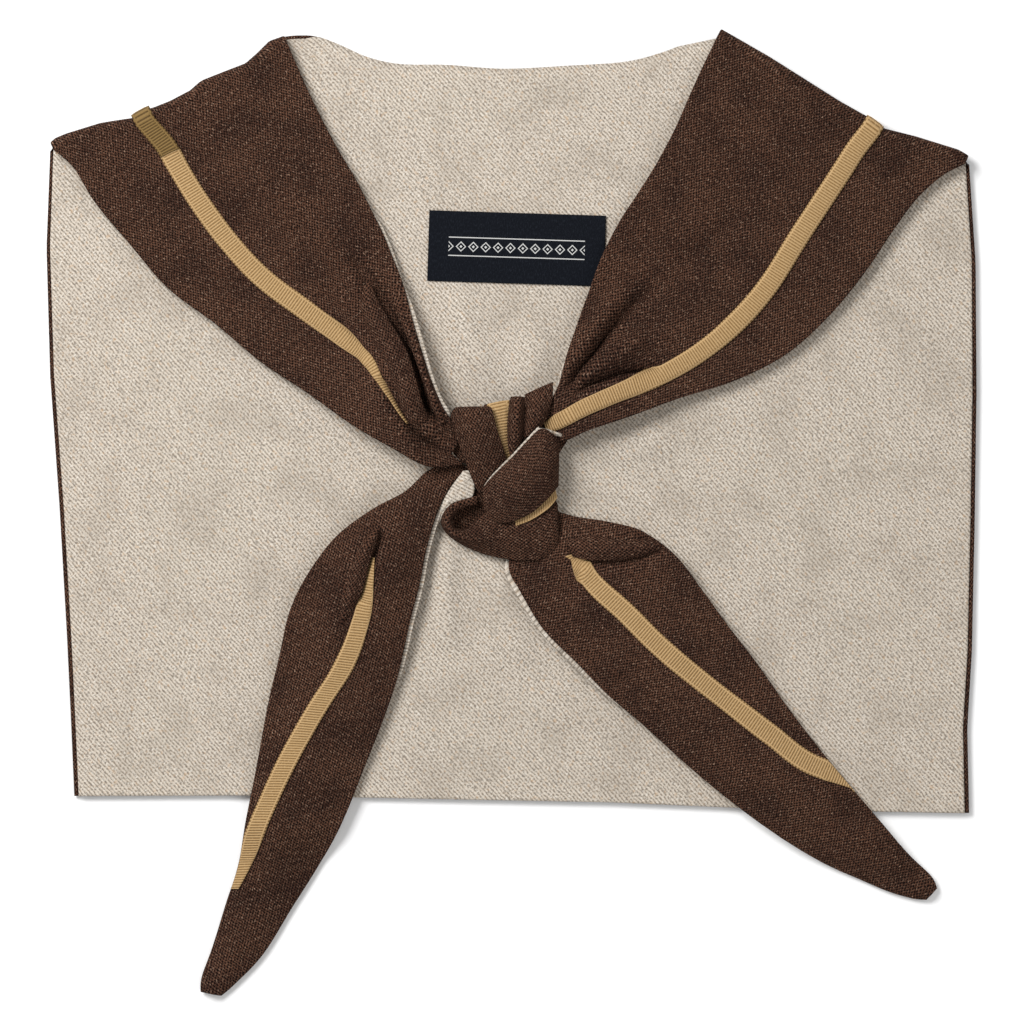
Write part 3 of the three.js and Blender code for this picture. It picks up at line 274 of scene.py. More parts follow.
FRONT_STRIP = ((-13, 34.3, -11.9, 33.8, 44, 48, 42), (-11.7, 38.3, -10.8, 37.8, 53, 60, 50),
               (-10.4, 42.3, -9.75, 41.9, 61, 69, 56), (-9.4, 45.7, -8.8, 45.3, 65, 74, 60),
               (-8.5, 48.8, -7.7, 48.3, 65, 74, 60), (-7.6, 51.2, -6.9, 50.6, 56, 62, 56))
LEFT_TAIL_ROLL = ((-14.5, 64.3, -14.2, 64.5, 54, 56, 54), (-16.2, 66.6, -14.9, 67, 58, 70, 62),
                  (-17.5, 69.8, -15.4, 69.3, 57, 69, 61), (-18.4, 73, -16.1, 72.5, 54, 66, 58),
                  (-18.9, 76.3, -17.5, 75.9, 49, 59, 51), (-18.9, 78.9, -18.3, 78.9, 44, 46, 44))
RIGHT_TAIL_ROLL = ((5.8, 65.9, 6.5, 68, 44, 52, 48), (8.4, 65.3, 8.6, 68.5, 50, 64, 56),
                   (11.1, 65.5, 11.3, 68.4, 50, 65, 57),
                   (13.8, 65.9, 13.9, 67.9, 48, 60, 53), (15.8, 66.1, 16, 67, 42, 48, 44))
FRONT_GATHER = ((-7, 50, -4, 49.5, 38, 40, 42), (-7.4, 52, -4, 52, 36, 43, 44),
                (-7, 54, -3.6, 54.2, 35, 42, 42),
                (-5.8, 56, -3.4, 56, 33, 37, 38))
FRAYED_EDGE = ((2.8, 51.6, 2.9, 52, 77, 78, 77), (3.6, 51.7, 3.7, 52.1, 75, 76, 74),
               (4.7, 52.1, 4.8, 52.5, 65, 66, 64),
               (5.8, 52.4, 5.8, 52.7, 52, 53, 52))
FRONT_END = ((6.2, 52.6, 3.6, 50.6, 42, 44, 46), (5.6, 53.8, 3.4, 52, 41, 43, 44),
             (4.9, 55, 3.4, 53.6, 39, 41, 42),
             (4.2, 55.9, 3.6, 55, 37, 38, 38))
TAIL_TURN = ((-5.2, 57, -4.1, 56.9, 38, 41, 38), (-6.3, 58.7, -4, 58.7, 38, 42, 38),
             (-7.1, 60.2, -4.3, 60.4, 38, 42, 38), (-7.8, 61.8, -5.9, 61.2, 37, 40, 37),
             (-8.2, 63, -7.2, 62.6, 36, 38, 36), (-8.6, 64.4, -8.3, 64.5, 34, 35, 34))

LABEL_PLACE = (0.5, 28.3)


def place(pairs: tuple) -> Array:
    """Turns (across, down) pairs in per cent into plan points in metres, in the source's own frame."""
    table = np.asarray(pairs, float)
    return np.stack([table[..., 0] / 100 * S.back_width, -table[..., 1] / 100 * S.back_length], -1)


def smooth(value: Array) -> Array:
    """Smooth step: 3t^2 - 2t^3 of the value held between 0 and 1."""
    t = np.clip(value, 0, 1)
    return t * t * (3 - 2 * t)


def after(value: Array, start: float, over: float) -> Array:
    """Smooth step that begins at a start and is done after a stretch."""
    return smooth((value - start) / over)


def spline(points: Array, t: Array) -> Array:
    """A uniform Catmull-Rom curve through rows of points.

    Args:
        points: (rows, n) array of the points, evenly spaced in t.
        t: places along the curve, 0 to 1.

    Returns:
        The curve's points: p1 + v0 w + (3(p2 - p1) - 2 v0 - v1) w^2 + (2(p1 - p2) + v0 + v1) w^3.
    """
    last = len(points) - 1
    at = np.clip(np.asarray(t, float), 0, 1) * last
    i = np.minimum(at.astype(int), last - 1)
    w = (at - i)[..., None]
    p0, p1 = points[np.maximum(i - 1, 0)], points[i]
    p2, p3 = points[i + 1], points[np.minimum(i + 2, last)]
    v0, v1 = (p2 - p0) / 2, (p3 - p1) / 2
    return p1 + v0 * w + (3 * (p2 - p1) - 2 * v0 - v1) * w**2 + (2 * (p1 - p2) + v0 + v1) * w**3


def table_read(table: tuple, column: int, value: Array) -> Array:
    """Reads a column of a table at values of its first column, with straight steps between rows."""
    rows = np.asarray(table, float)
    return np.interp(value, rows[:, 0], rows[:, column])


def read_rows(run: Array, values: Array, at: Array) -> Array:
    """Reads rows of points at places along them, held inside each row, with straight steps between points.

    Args:
        run: length along each row at its points.
        values: the points, rows by columns by 3.
        at: the places, one set for all rows or one for each.

    Returns:
        The points at the places. All rows are read at once, each one lifted past the row before.
    """
    lift = ROW_LIFT * np.arange(len(run))[:, None]
    held = np.clip(at, run[:, :1], run[:, -1:]) + lift
    return np.stack([np.interp(held, (run + lift).ravel(), values[..., k].ravel()) for k in range(3)], -1)


def noise(x: Array, y: Array, size: float, seed: int) -> Array:
    """Soft value noise: random values on a grid, read with smooth steps of the place inside the cell.

    Args:
        x: first coordinate.
        y: second coordinate.
        size: side of a cell.
        seed: seed of the random values.

    Returns:
        Values between -1 and 1: the four corners' values, weighted by the smooth steps.
    """
    values = np.random.default_rng(seed).uniform(-1, 1, (NOISE_CELLS, NOISE_CELLS))
    gx, gy = x / size, y / size
    ix, iy = np.floor(gx).astype(int), np.floor(gy).astype(int)
    fx, fy = smooth(gx - ix), smooth(gy - iy)
    sides = []
    for row in (0, 1):
        first, second = (values[(iy + row) % NOISE_CELLS, (ix + k) % NOISE_CELLS] for k in (0, 1))
        sides.append(first * (1 - fx) + second * fx)
    return sides[0] * (1 - fy) + sides[1] * fy


def wrinkles(plan: Array, rows: tuple) -> Array:
    """Sum of soft noises over the plan, each row a height, a size and a seed."""
    return sum(height * noise(plan[..., 0], plan[..., 1], size, seed) for height, size, seed in rows)


def path_distance(path: tuple, plan: Array) -> tuple:
    """Distance of plan points from a smooth path.

    Args:
        path: the path's (across, down) pairs.
        plan: the points.

    Returns:
        The distances, and how far along the path (0 to 1) the nearest places are.
    """
    line = spline(place(path), np.linspace(0, 1, 4 * len(path)))
    nearest = np.full(plan.shape[:-1], np.inf)
    along = np.zeros(plan.shape[:-1])
    count = len(line) - 1
    for k in range(count):
        step = line[k + 1] - line[k]
        share = np.clip((plan - line[k]) @ step / (step @ step), 0, 1)
        gap = np.linalg.norm(plan - line[k] - share[..., None] * step, axis=-1)
        closer = gap < nearest
        nearest = np.where(closer, gap, nearest)
        along = np.where(closer, (k + share) / count, along)
    return nearest, along


def fold_height(folds: tuple, plan: Array, depth: float) -> Array:
    """Height of a table's folds: exp(-(distance / breadth)^2) around each path, faded at its two ends.

    Args:
        folds: rows of path, share of the depth, and breadth.
        plan: the points.
        depth: height of a fold whose share is 1.

    Returns:
        The height at the points.
    """
    height = np.zeros(plan.shape[:-1])
    for path, share, breadth in folds:
        distance, along = path_distance(path, plan)
        fade = after(along, *FOLD_START) * after(1 - along, *FOLD_END)
        height += share * depth * np.exp(-(distance / (breadth / 100 * S.back_width))**2) * fade
    return height


def steps(count: int, edge_low: bool = False, edge_high: bool = False) -> Array:
    """Shares from 0 to 1, drawn close together at an edge that has to look round.

    Args:
        count: number of steps.
        edge_low: whether 0 is such an edge.
        edge_high: whether 1 is.

    Returns:
        The shares, one more than the steps.
    """
    t = np.linspace(0, 1, count + 1)
    if edge_low and edge_high:
        return (1 - np.cos(np.pi * t)) / 2
    if edge_low:
        return 1 - np.cos(np.pi * t / 2)
    return np.sin(np.pi * t / 2) if edge_high else t


def edge_distance(points: Array) -> tuple:
    """Distances of grid points from the grid's sides, along the rows.

    Args:
        points: the grid.

    Returns:
        The distances from its first column, and those from its last.
    """
    gaps = np.linalg.norm(np.diff(points, axis=1), axis=-1)
    run = np.concatenate([np.zeros((len(points), 1)), np.cumsum(gaps, 1)], 1)
    return run, run[:, -1:] - run


def end_distance(points: Array) -> tuple:
    """Distances of grid points from the grid's first and last rows, along the columns."""
    start, end = edge_distance(points.transpose(1, 0, 2))
    return start.T, end.T


def rounding(distance: Array, radius: float) -> Array:
    """Share of a cloth's thickness near its edge: sqrt(1 - (1 - d / r)^2), a quarter circle."""
    inside = np.clip(1 - distance / radius, 0, 1)
    return np.maximum(RIM_SHARE, np.sqrt(1 - inside**2))


def half_thickness(points: Array, thickness: float, radius: float) -> Array:
    """Half of a cloth's thickness at grid points, rounded off toward the grid's four edges."""
    near = np.minimum(np.minimum(*end_distance(points)), np.minimum(*edge_distance(points)))
    return thickness / 2 * rounding(near, radius)


def laid_out(points: Array) -> tuple:
    """Size of a grid of cloth laid flat, held to a least width and a least share of its area.
    Size of a grid of cloth laid flat, held to what a sheet may have.

    Args:
        points: the grid.

    Returns:
        Its greatest width, its mean length and its area.
    """
    widths, length = edge_distance(points)[0][:, -1], float(end_distance(points)[0][-1].mean())
    width = max(float(widths.max()), NARROWEST_SHEET)
    area = max(float(widths.mean()) * length, LEAST_AREA_SHARE * width * length)
    return width, length, min(area, width * length)


def arc_uv(points: Array) -> Array:
    """Cloth coordinates by arc length.

    Args:
        points: the grid.

    Returns:
        The length across the rows from their middle, and the mean length down the columns.
    """
    start, end = edge_distance(points)
    down, _ = end_distance(points)
    return np.stack([(start - end) / 2, down.mean(1, keepdims=True) + 0 * start], -1)


def turned_uv(points: Array, degrees: float) -> Array:
    """Cloth coordinates laid flat over the plan.

    Args:
        points: the grid.
        degrees: angle by which they are turned.

    Returns:
        x and y, turned by the angle.
    """
    c, s = np.cos(radians(degrees)), np.sin(radians(degrees))
    x, y = points[..., 0], points[..., 1]
    return np.stack([c * x + s * y, c * y - s * x], -1)


@dataclass
class Block:
    """A grid of cloth: reference points, their cloth coordinates in metres, and offsets to either side."""

    points: Array
    uv: Array
    low: Array
    high: Array

    @classmethod
    def about(cls, points: Array, uv: Array, middle: Array | float, half: Array) -> "Block":
        """A block whose cloth reaches by a half thickness to both sides of a middle offset."""
        return cls(points, uv, middle - half, middle + half)


@dataclass
class ClothMaker:
    """Turns blocks of cloth into one closed mesh; the offset leads from the source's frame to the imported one."""

    offset: Vector

    @staticmethod
    def weld(blocks: list) -> tuple:
        """Joins the blocks' equal points.

        Args:
            blocks: the grids of cloth.

        Returns:
            Points, uv, low, high and the quads' corners, each as an array.
        """
        points = np.concatenate([b.points.reshape(-1, 3) for b in blocks])
        keys = np.round(points / WELD_DISTANCE).astype(np.int64)
        _, first, inverse = np.unique(keys, axis=0, return_index=True, return_inverse=True)
        quads, start = [], 0
        for block in blocks:
            rows, columns = block.points.shape[:2]
            number = start + np.arange(rows * columns).reshape(rows, columns)
            corners = (number[:-1, :-1], number[1:, :-1], number[1:, 1:], number[:-1, 1:])
            quads.append(np.stack(corners, -1).reshape(-1, 4))
            start += rows * columns
        uv, low, high = (np.concatenate([getattr(b, name).reshape(-1, width) for b in blocks])[first]
                         for name, width in (("uv", 2), ("low", 1), ("high", 1)))
        return points[first], uv, low, high, inverse.reshape(-1)[np.concatenate(quads)]

    @staticmethod
    def normals(points: Array, quads: Array) -> Array:
        """Unit directions at the points.

        Args:
            points: the points.
            quads: corners of the faces between them.

        Returns:
            The sum of the cross products of the quads' diagonals at each point, made one long.
        """
        corners = points[quads]
        face = np.cross(corners[:, 2] - corners[:, 0], corners[:, 3] - corners[:, 1])
        sums = np.zeros_like(points)
        for k in range(4):
            np.add.at(sums, quads[:, k], face)
        return sums / np.maximum(np.linalg.norm(sums, axis=1, keepdims=True), TINY)

    def solid(self, name: str, *blocks: Block) -> Object:
        """Makes one closed piece of cloth from blocks that share their reference surface.

        Args:
            name: the piece's name.
            *blocks: the grids; where two share points they become one body.

        Returns:
            The new object, with its place in its mesh and its cloth coordinates in a UV map.
        """
        points, uv, low, high, quads = self.weld(blocks)
        direction = self.normals(points, quads)
        count = len(points)
        vertices = np.concatenate([points + direction * low, points + direction * high]) + np.array(self.offset)
        edges = np.concatenate([quads[:, [k, (k + 1) % 4]] for k in range(4)])
        code = edges[:, 0].astype(np.int64) * count + edges[:, 1]
        reverse = edges[:, 1].astype(np.int64) * count + edges[:, 0]
        rim = edges[~np.isin(code, reverse)]
        rim_quads = np.stack([rim[:, 0], rim[:, 1], rim[:, 1] + count, rim[:, 0] + count], -1)
        faces = np.concatenate([quads + count, quads[:, ::-1], rim_quads])
        return mesh_object(name, vertices, faces, np.concatenate([uv, uv]))


def mesh_object(name: str, vertices: Array, faces: Array, uv: Array | None = None) -> Object:
    """Makes a smooth-shaded mesh object.

    Args:
        name: the object's name.
        vertices: the corners' places.
        faces: the corners' numbers, with as many in each row as a face has sides.
        uv: cloth coordinates, one pair for each vertex.

    Returns:
        The object, linked to the scene.
    """
    mesh = bpy.data.meshes.new(name)
    mesh.vertices.add(len(vertices))
    mesh.vertices.foreach_set("co", np.ascontiguousarray(vertices, np.float32).ravel())
    mesh.loops.add(faces.size)
    mesh.loops.foreach_set("vertex_index", np.ascontiguousarray(faces, np.int32).ravel())
    mesh.polygons.add(len(faces))
    mesh.polygons.foreach_set("loop_start", np.arange(0, faces.size, faces.shape[1], dtype=np.int32))
    mesh.update(calc_edges=True)
    mesh.validate()
    if uv is not None:
        layer = mesh.uv_layers.new(name="cloth")
        corner = np.zeros(len(mesh.loops), np.int32)
        mesh.loops.foreach_get("vertex_index", corner)
        layer.data.foreach_set("uv", np.ascontiguousarray(uv[corner], np.float32).ravel())
    mesh.polygons.foreach_set("use_smooth", np.ones(len(mesh.polygons), bool))
    mesh.update()
    return linked(name, mesh)


def linked(name: str, data: bpy.types.ID) -> Object:
    """Makes an object of its data.

    Args:
        name: the object's name.
        data: its mesh, camera or light.

    Returns:
        The object, linked to the scene.
    """
    made = bpy.data.objects.new(name, data)
    bpy.context.scene.collection.objects.link(made)
    return made


def finish_piece(piece: Object, material: Material, finish: Finish, *nodes: str) -> None:
    """Dresses a piece, rides it on the body and lets it stand for its nodes.

    Args:
        piece: the piece.
        material: its material.
        finish: the piece's finish; not used.
        *nodes: the CAD nodes that it replaces.
    """
    piece.data.materials.clear()
    piece.data.materials.append(material)
    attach(piece, "root")
    if nodes:
        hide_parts(*nodes)
    LOG.info("%s: %d faces", piece.name, len(piece.data.polygons))


class NodeKit:
    """Short calls for building shader nodes in one tree."""

    def __init__(self, tree: NodeTree) -> None:
        """Keeps the tree."""
        self.tree = tree

    def add(self, kind: str, inputs: dict | None = None, **settings: object) -> Node:
        """Adds a node.

        Args:
            kind: the node's type.
            inputs: a socket to link or a value to set, by the input's name or number.
            **settings: the node's properties.

        Returns:
            The node.
        """
        node = self.tree.nodes.new(kind)
        for key, value in settings.items():
            setattr(node, key, value)
        for key, value in (inputs or {}).items():
            if isinstance(value, Socket):
                self.tree.links.new(value, node.inputs[key])
            else:
                node.inputs[key].default_value = value
        return node

    def math(self, operation: str, a: object, b: object = 0.0) -> Socket:
        """A Math node's value."""
        return self.add("ShaderNodeMath", {0: a, 1: b}, operation=operation).outputs[0]

    def plus(self, a: object, b: object) -> Socket:
        """The sum of two values."""
        return self.math("ADD", a, b)

    def times(self, a: object, b: object) -> Socket:
        """The product of two values."""
        return self.math("MULTIPLY", a, b)

    def sine(self, value: object, pitch: object, turn: float = TWO_PI) -> Socket:
        """A wave along a value: sin(turn x value / pitch)."""
        return self.math("SINE", self.times(self.math("DIVIDE", value, pitch), turn))

    def near(self, value: object, middle: float, half: float) -> Socket:
        """1 where the value is less than a half width from a middle, otherwise 0."""
        return self.math("LESS_THAN", self.math("ABSOLUTE", self.math("SUBTRACT", value, middle)), half)

    def mix(self, share: object, a: object, b: object) -> Socket:
        """A colour between a and b."""
        return self.add("ShaderNodeMix", {0: share, 6: a, 7: b}, data_type="RGBA").outputs[2]

    def ramp(self, value: object, low: float, high: float, most: float = 1.0) -> Socket:
        """A smooth step between two values.

        Args:
            value: what is read.
            low: where the step starts.
            high: where it ends; it may be below the start.
            most: height of the step.

        Returns:
            0 before the start, the step's height past the end.
        """
        node = self.add("ShaderNodeMapRange", {0: value, 1: low, 2: high, 3: 0.0, 4: most},
                        interpolation_type="SMOOTHSTEP")
        return node.outputs[0]

    def noise(self, vector: object, scale: float, detail: float = 2.0, rough: float = 0.5) -> Socket:
        """A Noise node's value between 0 and 1."""
        inputs = {"Vector": vector, "Scale": scale, "Detail": detail, "Roughness": rough}
        return self.add("ShaderNodeTexNoise", inputs).outputs["Fac"]

    def split(self, vector: object) -> tuple:
        """The vector's three parts."""
        return tuple(self.add("ShaderNodeSeparateXYZ", {0: vector}).outputs)

    def vector(self, operation: str, a: object, b: object) -> Socket:
        """A Vector Math node's vector."""
        return self.add("ShaderNodeVectorMath", {0: a, 1: b}, operation=operation).outputs[0]


def new_group(name: str, inputs: dict, outputs: tuple) -> tuple:
    """A shader node group with named sockets.

    Args:
        name: the group's name.
        inputs: name to default value; a tuple is a vector.
        outputs: names of the values that it gives.

    Returns:
        The group, its NodeKit, its input sockets by name and its output node.
    """
    group = bpy.data.node_groups.new(name, "ShaderNodeTree")
    for key, value in inputs.items():
        kind = "NodeSocketVector" if isinstance(value, tuple) else "NodeSocketFloat"
        socket = group.interface.new_socket(key, in_out="INPUT", socket_type=kind)
        socket.default_value = value
    for key in outputs:
        group.interface.new_socket(key, in_out="OUTPUT", socket_type="NodeSocketFloat")
    source, sink = group.nodes.new("NodeGroupInput"), group.nodes.new("NodeGroupOutput")
    return group, NodeKit(group), {key: source.outputs[key] for key in inputs}, sink


def fibre_group() -> NodeTree:
    """Fine fibres and slow stains that every cloth here shares.

    Returns:
        A group that gives fibre, a fine noise stretched along the thread, and blotch, a slow one, from 0 to 1.
    """
    group, kit, given, sink = new_group("cloth_fibre", {"Cloth": (0.0, 0.0, 0.0), "Stretch": 3.0},
                                        ("Fibre", "Blotch"))
    x, y, z = kit.split(given["Cloth"])
    joined = kit.add("ShaderNodeCombineXYZ", {0: x, 1: kit.math("DIVIDE", y, given["Stretch"]), 2: z})
    group.links.new(kit.noise(joined.outputs[0], 2600.0, 3.0, 0.7), sink.inputs["Fibre"])
    group.links.new(kit.noise(given["Cloth"], 55.0, 3.0, 0.6), sink.inputs["Blotch"])
    return group


def crossing_group() -> NodeTree:
    """Threads that cross: a half-drop lattice of pits between raised threads.

    Returns:
        A group that gives (1 + sin(pi x / across) sin(pi y / along)) / 2 on coordinates bent by noise.
    """
    inputs = {"Cloth": (0.0, 0.0, 0.0), "Across": 0.0013, "Along": 0.0013, "Wander": 0.0002}
    group, kit, given, sink = new_group("cloth_crossing", inputs, ("Thread",))
    bend = kit.add("ShaderNodeTexNoise", {"Vector": given["Cloth"], "Scale": 260.0, "Detail": 2.0})
    centred = kit.vector("SUBTRACT", bend.outputs["Color"], (0.5, 0.5, 0.5))
    shift = kit.add("ShaderNodeVectorMath", {0: centred, "Scale": given["Wander"]}, operation="SCALE")
    x, y, _ = kit.split(kit.vector("ADD", given["Cloth"], shift.outputs[0]))
    product = kit.times(kit.sine(x, given["Across"], TWO_PI / 2), kit.sine(y, given["Along"], TWO_PI / 2))
    group.links.new(kit.plus(kit.times(product, 0.5), 0.5), sink.inputs["Thread"])
    return group


class ClothMaterial:
    """A new cloth material: its nodes, its shader, its cloth coordinates in metres and its fibres."""

    def __init__(self, name: str, roughness: float, fibre: NodeTree) -> None:
        """Makes the material.

        Args:
            name: the material's name.
            roughness: roughness of its surface.
            fibre: the shared group of fibres.
        """
        self.material = bpy.data.materials.new(name)
        self.material.use_nodes = True
        self.kit = NodeKit(self.material.node_tree)
        self.shader = self.material.node_tree.nodes["Principled BSDF"]
        self.shader.inputs["Roughness"].default_value = roughness
        self.shader.inputs["Specular IOR Level"].default_value = 0.08
        self.cloth = self.kit.add("ShaderNodeUVMap", uv_map="cloth").outputs[0]
        self.group = fibre

    def fibres(self, vector: Socket) -> tuple:
        """The fibres' two values, fibre and blotch, at coordinates."""
        return tuple(self.kit.add("ShaderNodeGroup", {"Cloth": vector}, node_tree=self.group).outputs)

    def finish(self, color: Socket, height: Socket, distance: float,
               strength: float) -> Material:
        """Feeds the shader.

        Args:
            color: base colour.
            height: height of the threads, for the normal.
            distance: how much a height of 1 stands up.
            strength: strength of the bump.

        Returns:
            The material.
        """
        self.kit.tree.links.new(color, self.shader.inputs["Base Color"])
        bump = self.kit.add("ShaderNodeBump", {"Height": height, "Distance": distance, "Strength": strength})
        self.kit.tree.links.new(bump.outputs[0], self.shader.inputs["Normal"])
        return self.material


@dataclass(frozen=True)
class WovenBrown:
    """Dark brown coarse plain weave with pits and pale specks.

    Ranges are (from, to) of the noise or the thread's height that brings the colour in.
    """

    pitch: float = 0.53 * MM
    row: float = 0.74 * MM
    wander: float = 0.9 * MM
    slub: float = 0.9
    slub_scale: float = 900.0
    single_scale: float = 1700.0
    relief: float = 0.3 * MM
    pit: tuple = (0.004, 0.0018, 0.0012, 1.0)
    thread: tuple = (0.112, 0.052, 0.031, 1.0)
    worn: tuple = (0.058, 0.026, 0.0165, 1.0)
    speck: tuple = (0.46, 0.31, 0.22, 1.0)
    dull: tuple = (0.014, 0.0065, 0.005, 1.0)
    raised_range: tuple = (0.22, 0.6)
    worn_range: tuple = (0.35, 0.7)
    single_range: tuple = (0.6, 0.38, 0.75)
    speck_range: tuple = (0.54, 0.76)
    dull_range: tuple = (0.46, 0.25)

    def build(self, fibre: NodeTree, crossing: NodeTree) -> Material:
        """Makes the material.

        Args:
            fibre: the shared group of fibres.
            crossing: the group of crossing threads.

        Returns:
            The material.
        """
        made = ClothMaterial("brown_weave", 0.95, fibre)
        kit, cloth = made.kit, made.cloth
        lattice = {"Cloth": cloth, "Across": self.pitch, "Along": self.row, "Wander": self.wander}
        weave = kit.add("ShaderNodeGroup", lattice, node_tree=crossing)
        fibres, blotch = made.fibres(cloth)
        uneven = kit.math("SUBTRACT", kit.noise(cloth, self.slub_scale, 2.0, 0.6), 0.5)
        woven = kit.plus(weave.outputs["Thread"], kit.times(uneven, self.slub))
        raised = kit.ramp(woven, *self.raised_range)
        worn = kit.mix(kit.ramp(blotch, *self.worn_range), self.thread, self.worn)
        streaked = kit.mix(kit.ramp(kit.noise(cloth, self.single_scale, 1.0), *self.single_range), worn, self.dull)
        base = kit.mix(raised, self.pit, streaked)
        lit = kit.mix(kit.times(kit.ramp(fibres, *self.speck_range), raised), base, self.speck)
        shade = kit.mix(kit.ramp(fibres, *self.dull_range), lit, self.dull)
        return made.finish(shade, kit.plus(woven, kit.times(fibres, 0.7)), self.relief, 0.8)


@dataclass(frozen=True)
class MelangeTwill:
    """Beige twill: slanting ribs with pale, dark, rusty and blue-grey flecks.

    Ranges are (from, to, most) of the noise that brings a colour in, and of how much of it there is.
    """

    pitch: float = 1.08 * MM
    stitch: float = 1.5 * MM
    slant: float = 47.0
    wander: tuple = (420.0, 0.8)
    slub: tuple = (1300.0, 2.6)
    step_share: float = 0.37
    dark_scale: float = 950.0
    rust_scale: float = 620.0
    relief: float = 0.18 * MM
    pale: tuple = (0.56, 0.49, 0.41, 1.0)
    shade: tuple = (0.235, 0.195, 0.152, 1.0)
    bright: tuple = (0.86, 0.82, 0.75, 1.0)
    dark: tuple = (0.14, 0.12, 0.10, 1.0)
    rust: tuple = (0.50, 0.33, 0.19, 1.0)
    pale_range: tuple = (-0.62, 0.3)
    dark_range: tuple = (0.57, 0.7, 0.6)
    rust_range: tuple = (0.58, 0.75, 0.45)
    bright_range: tuple = (0.5, 0.72, 0.75)
    shade_range: tuple = (0.42, 0.72, 0.26)

    def build(self, fibre: NodeTree) -> Material:
        """Makes the material.

        Args:
            fibre: the shared group of fibres.

        Returns:
            The material.
        """
        made = ClothMaterial("beige_twill", 0.95, fibre)
        kit = made.kit
        mapping = {"Vector": made.cloth, "Rotation": (0.0, 0.0, radians(self.slant))}
        turned = kit.add("ShaderNodeMapping", mapping).outputs[0]
        x, y, _ = kit.split(turned)
        bend = kit.times(kit.noise(made.cloth, self.wander[0]), self.wander[1])
        slope = kit.plus(kit.math("DIVIDE", y, self.pitch), bend)
        rib = kit.math("SINE", kit.times(slope, TWO_PI))
        step = kit.plus(kit.math("DIVIDE", x, self.stitch), kit.times(kit.math("FLOOR", slope), self.step_share))
        relief = kit.plus(kit.times(rib, 0.5), kit.times(kit.math("SINE", kit.times(step, TWO_PI)), 0.16))
        fibres, blotch = made.fibres(turned)
        slub = kit.math("SUBTRACT", kit.noise(turned, self.slub[0], 2.0, 0.6), 0.5)
        uneven = kit.times(slub, self.slub[1])
        color = kit.mix(kit.ramp(kit.plus(relief, uneven), *self.pale_range), self.shade, self.pale)
        for value, span, tint in ((kit.noise(turned, self.dark_scale, 1.0, 0.4), self.dark_range, self.dark),
                                  (kit.noise(turned, self.rust_scale, 1.0), self.rust_range, self.rust),
                                  (fibres, self.bright_range, self.bright),
                                  (blotch, self.shade_range, self.shade)):
            color = kit.mix(kit.ramp(value, *span), color, tint)
        return made.finish(color, kit.plus(relief, kit.times(fibres, 0.5)), self.relief, 0.6)


@dataclass(frozen=True)
class Grosgrain:
    """Mustard ribbon with ribs across and stitched edges; the dark line along each edge is painted shade, dotted at
    the stitches.
    """

    rib: float = 0.95 * MM
    stitch: float = 1.2 * MM
    relief: float = 0.16 * MM
    name: str = "mustard_grosgrain"
    bright: tuple = (0.45, 0.292, 0.138, 1.0)
    valley: tuple = (0.2, 0.11, 0.038, 1.0)
    sheen: tuple = (0.72, 0.53, 0.3, 1.0)
    # Painted shade along both edges, dotted where the stitches are
    selvedge_and_edge_shade: tuple = (0.12, 0.062, 0.018, 1.0)
    edge_range: tuple = (1.1 * MM, 0.75 * MM)
    edge_shade_range: tuple = (0.6 * MM, 0.35 * MM, 0.85)
    bright_range: tuple = (-0.95, 0.1)
    sheen_range: tuple = (0.45, 0.8, 0.4)

    def build(self, fibre: NodeTree) -> Material:
        """Makes the material. The UV's u is 0 in the ribbon's middle, and v runs along it in metres.

        Args:
            fibre: the shared group of fibres.

        Returns:
            The material.
        """
        made = ClothMaterial(self.name, 0.7, fibre)
        kit = made.kit
        x, y, _ = kit.split(made.cloth)
        from_edge = kit.math("SUBTRACT", S.ribbon_width / 2, kit.math("ABSOLUTE", x))
        stitch = kit.sine(y, self.stitch)
        relief = kit.mix(kit.ramp(from_edge, *self.edge_range), kit.sine(y, self.rib),
                         kit.plus(kit.times(stitch, 0.15), 0.3))
        fibres, _ = made.fibres(made.cloth)
        ground = kit.mix(kit.ramp(relief, *self.bright_range), self.valley, self.bright)
        sheen = kit.mix(kit.ramp(fibres, *self.sheen_range), ground, self.sheen)
        # Painted shade along the edges, broken into dots by the stitches
        stitched_edge_shade = kit.times(kit.ramp(from_edge, *self.edge_shade_range), kit.ramp(stitch, 1.0, -0.5))
        return made.finish(kit.mix(stitched_edge_shade, sheen, self.selvedge_and_edge_shade), kit.plus(relief, kit.times(fibres, 0.6)),
                           self.relief, 0.8)


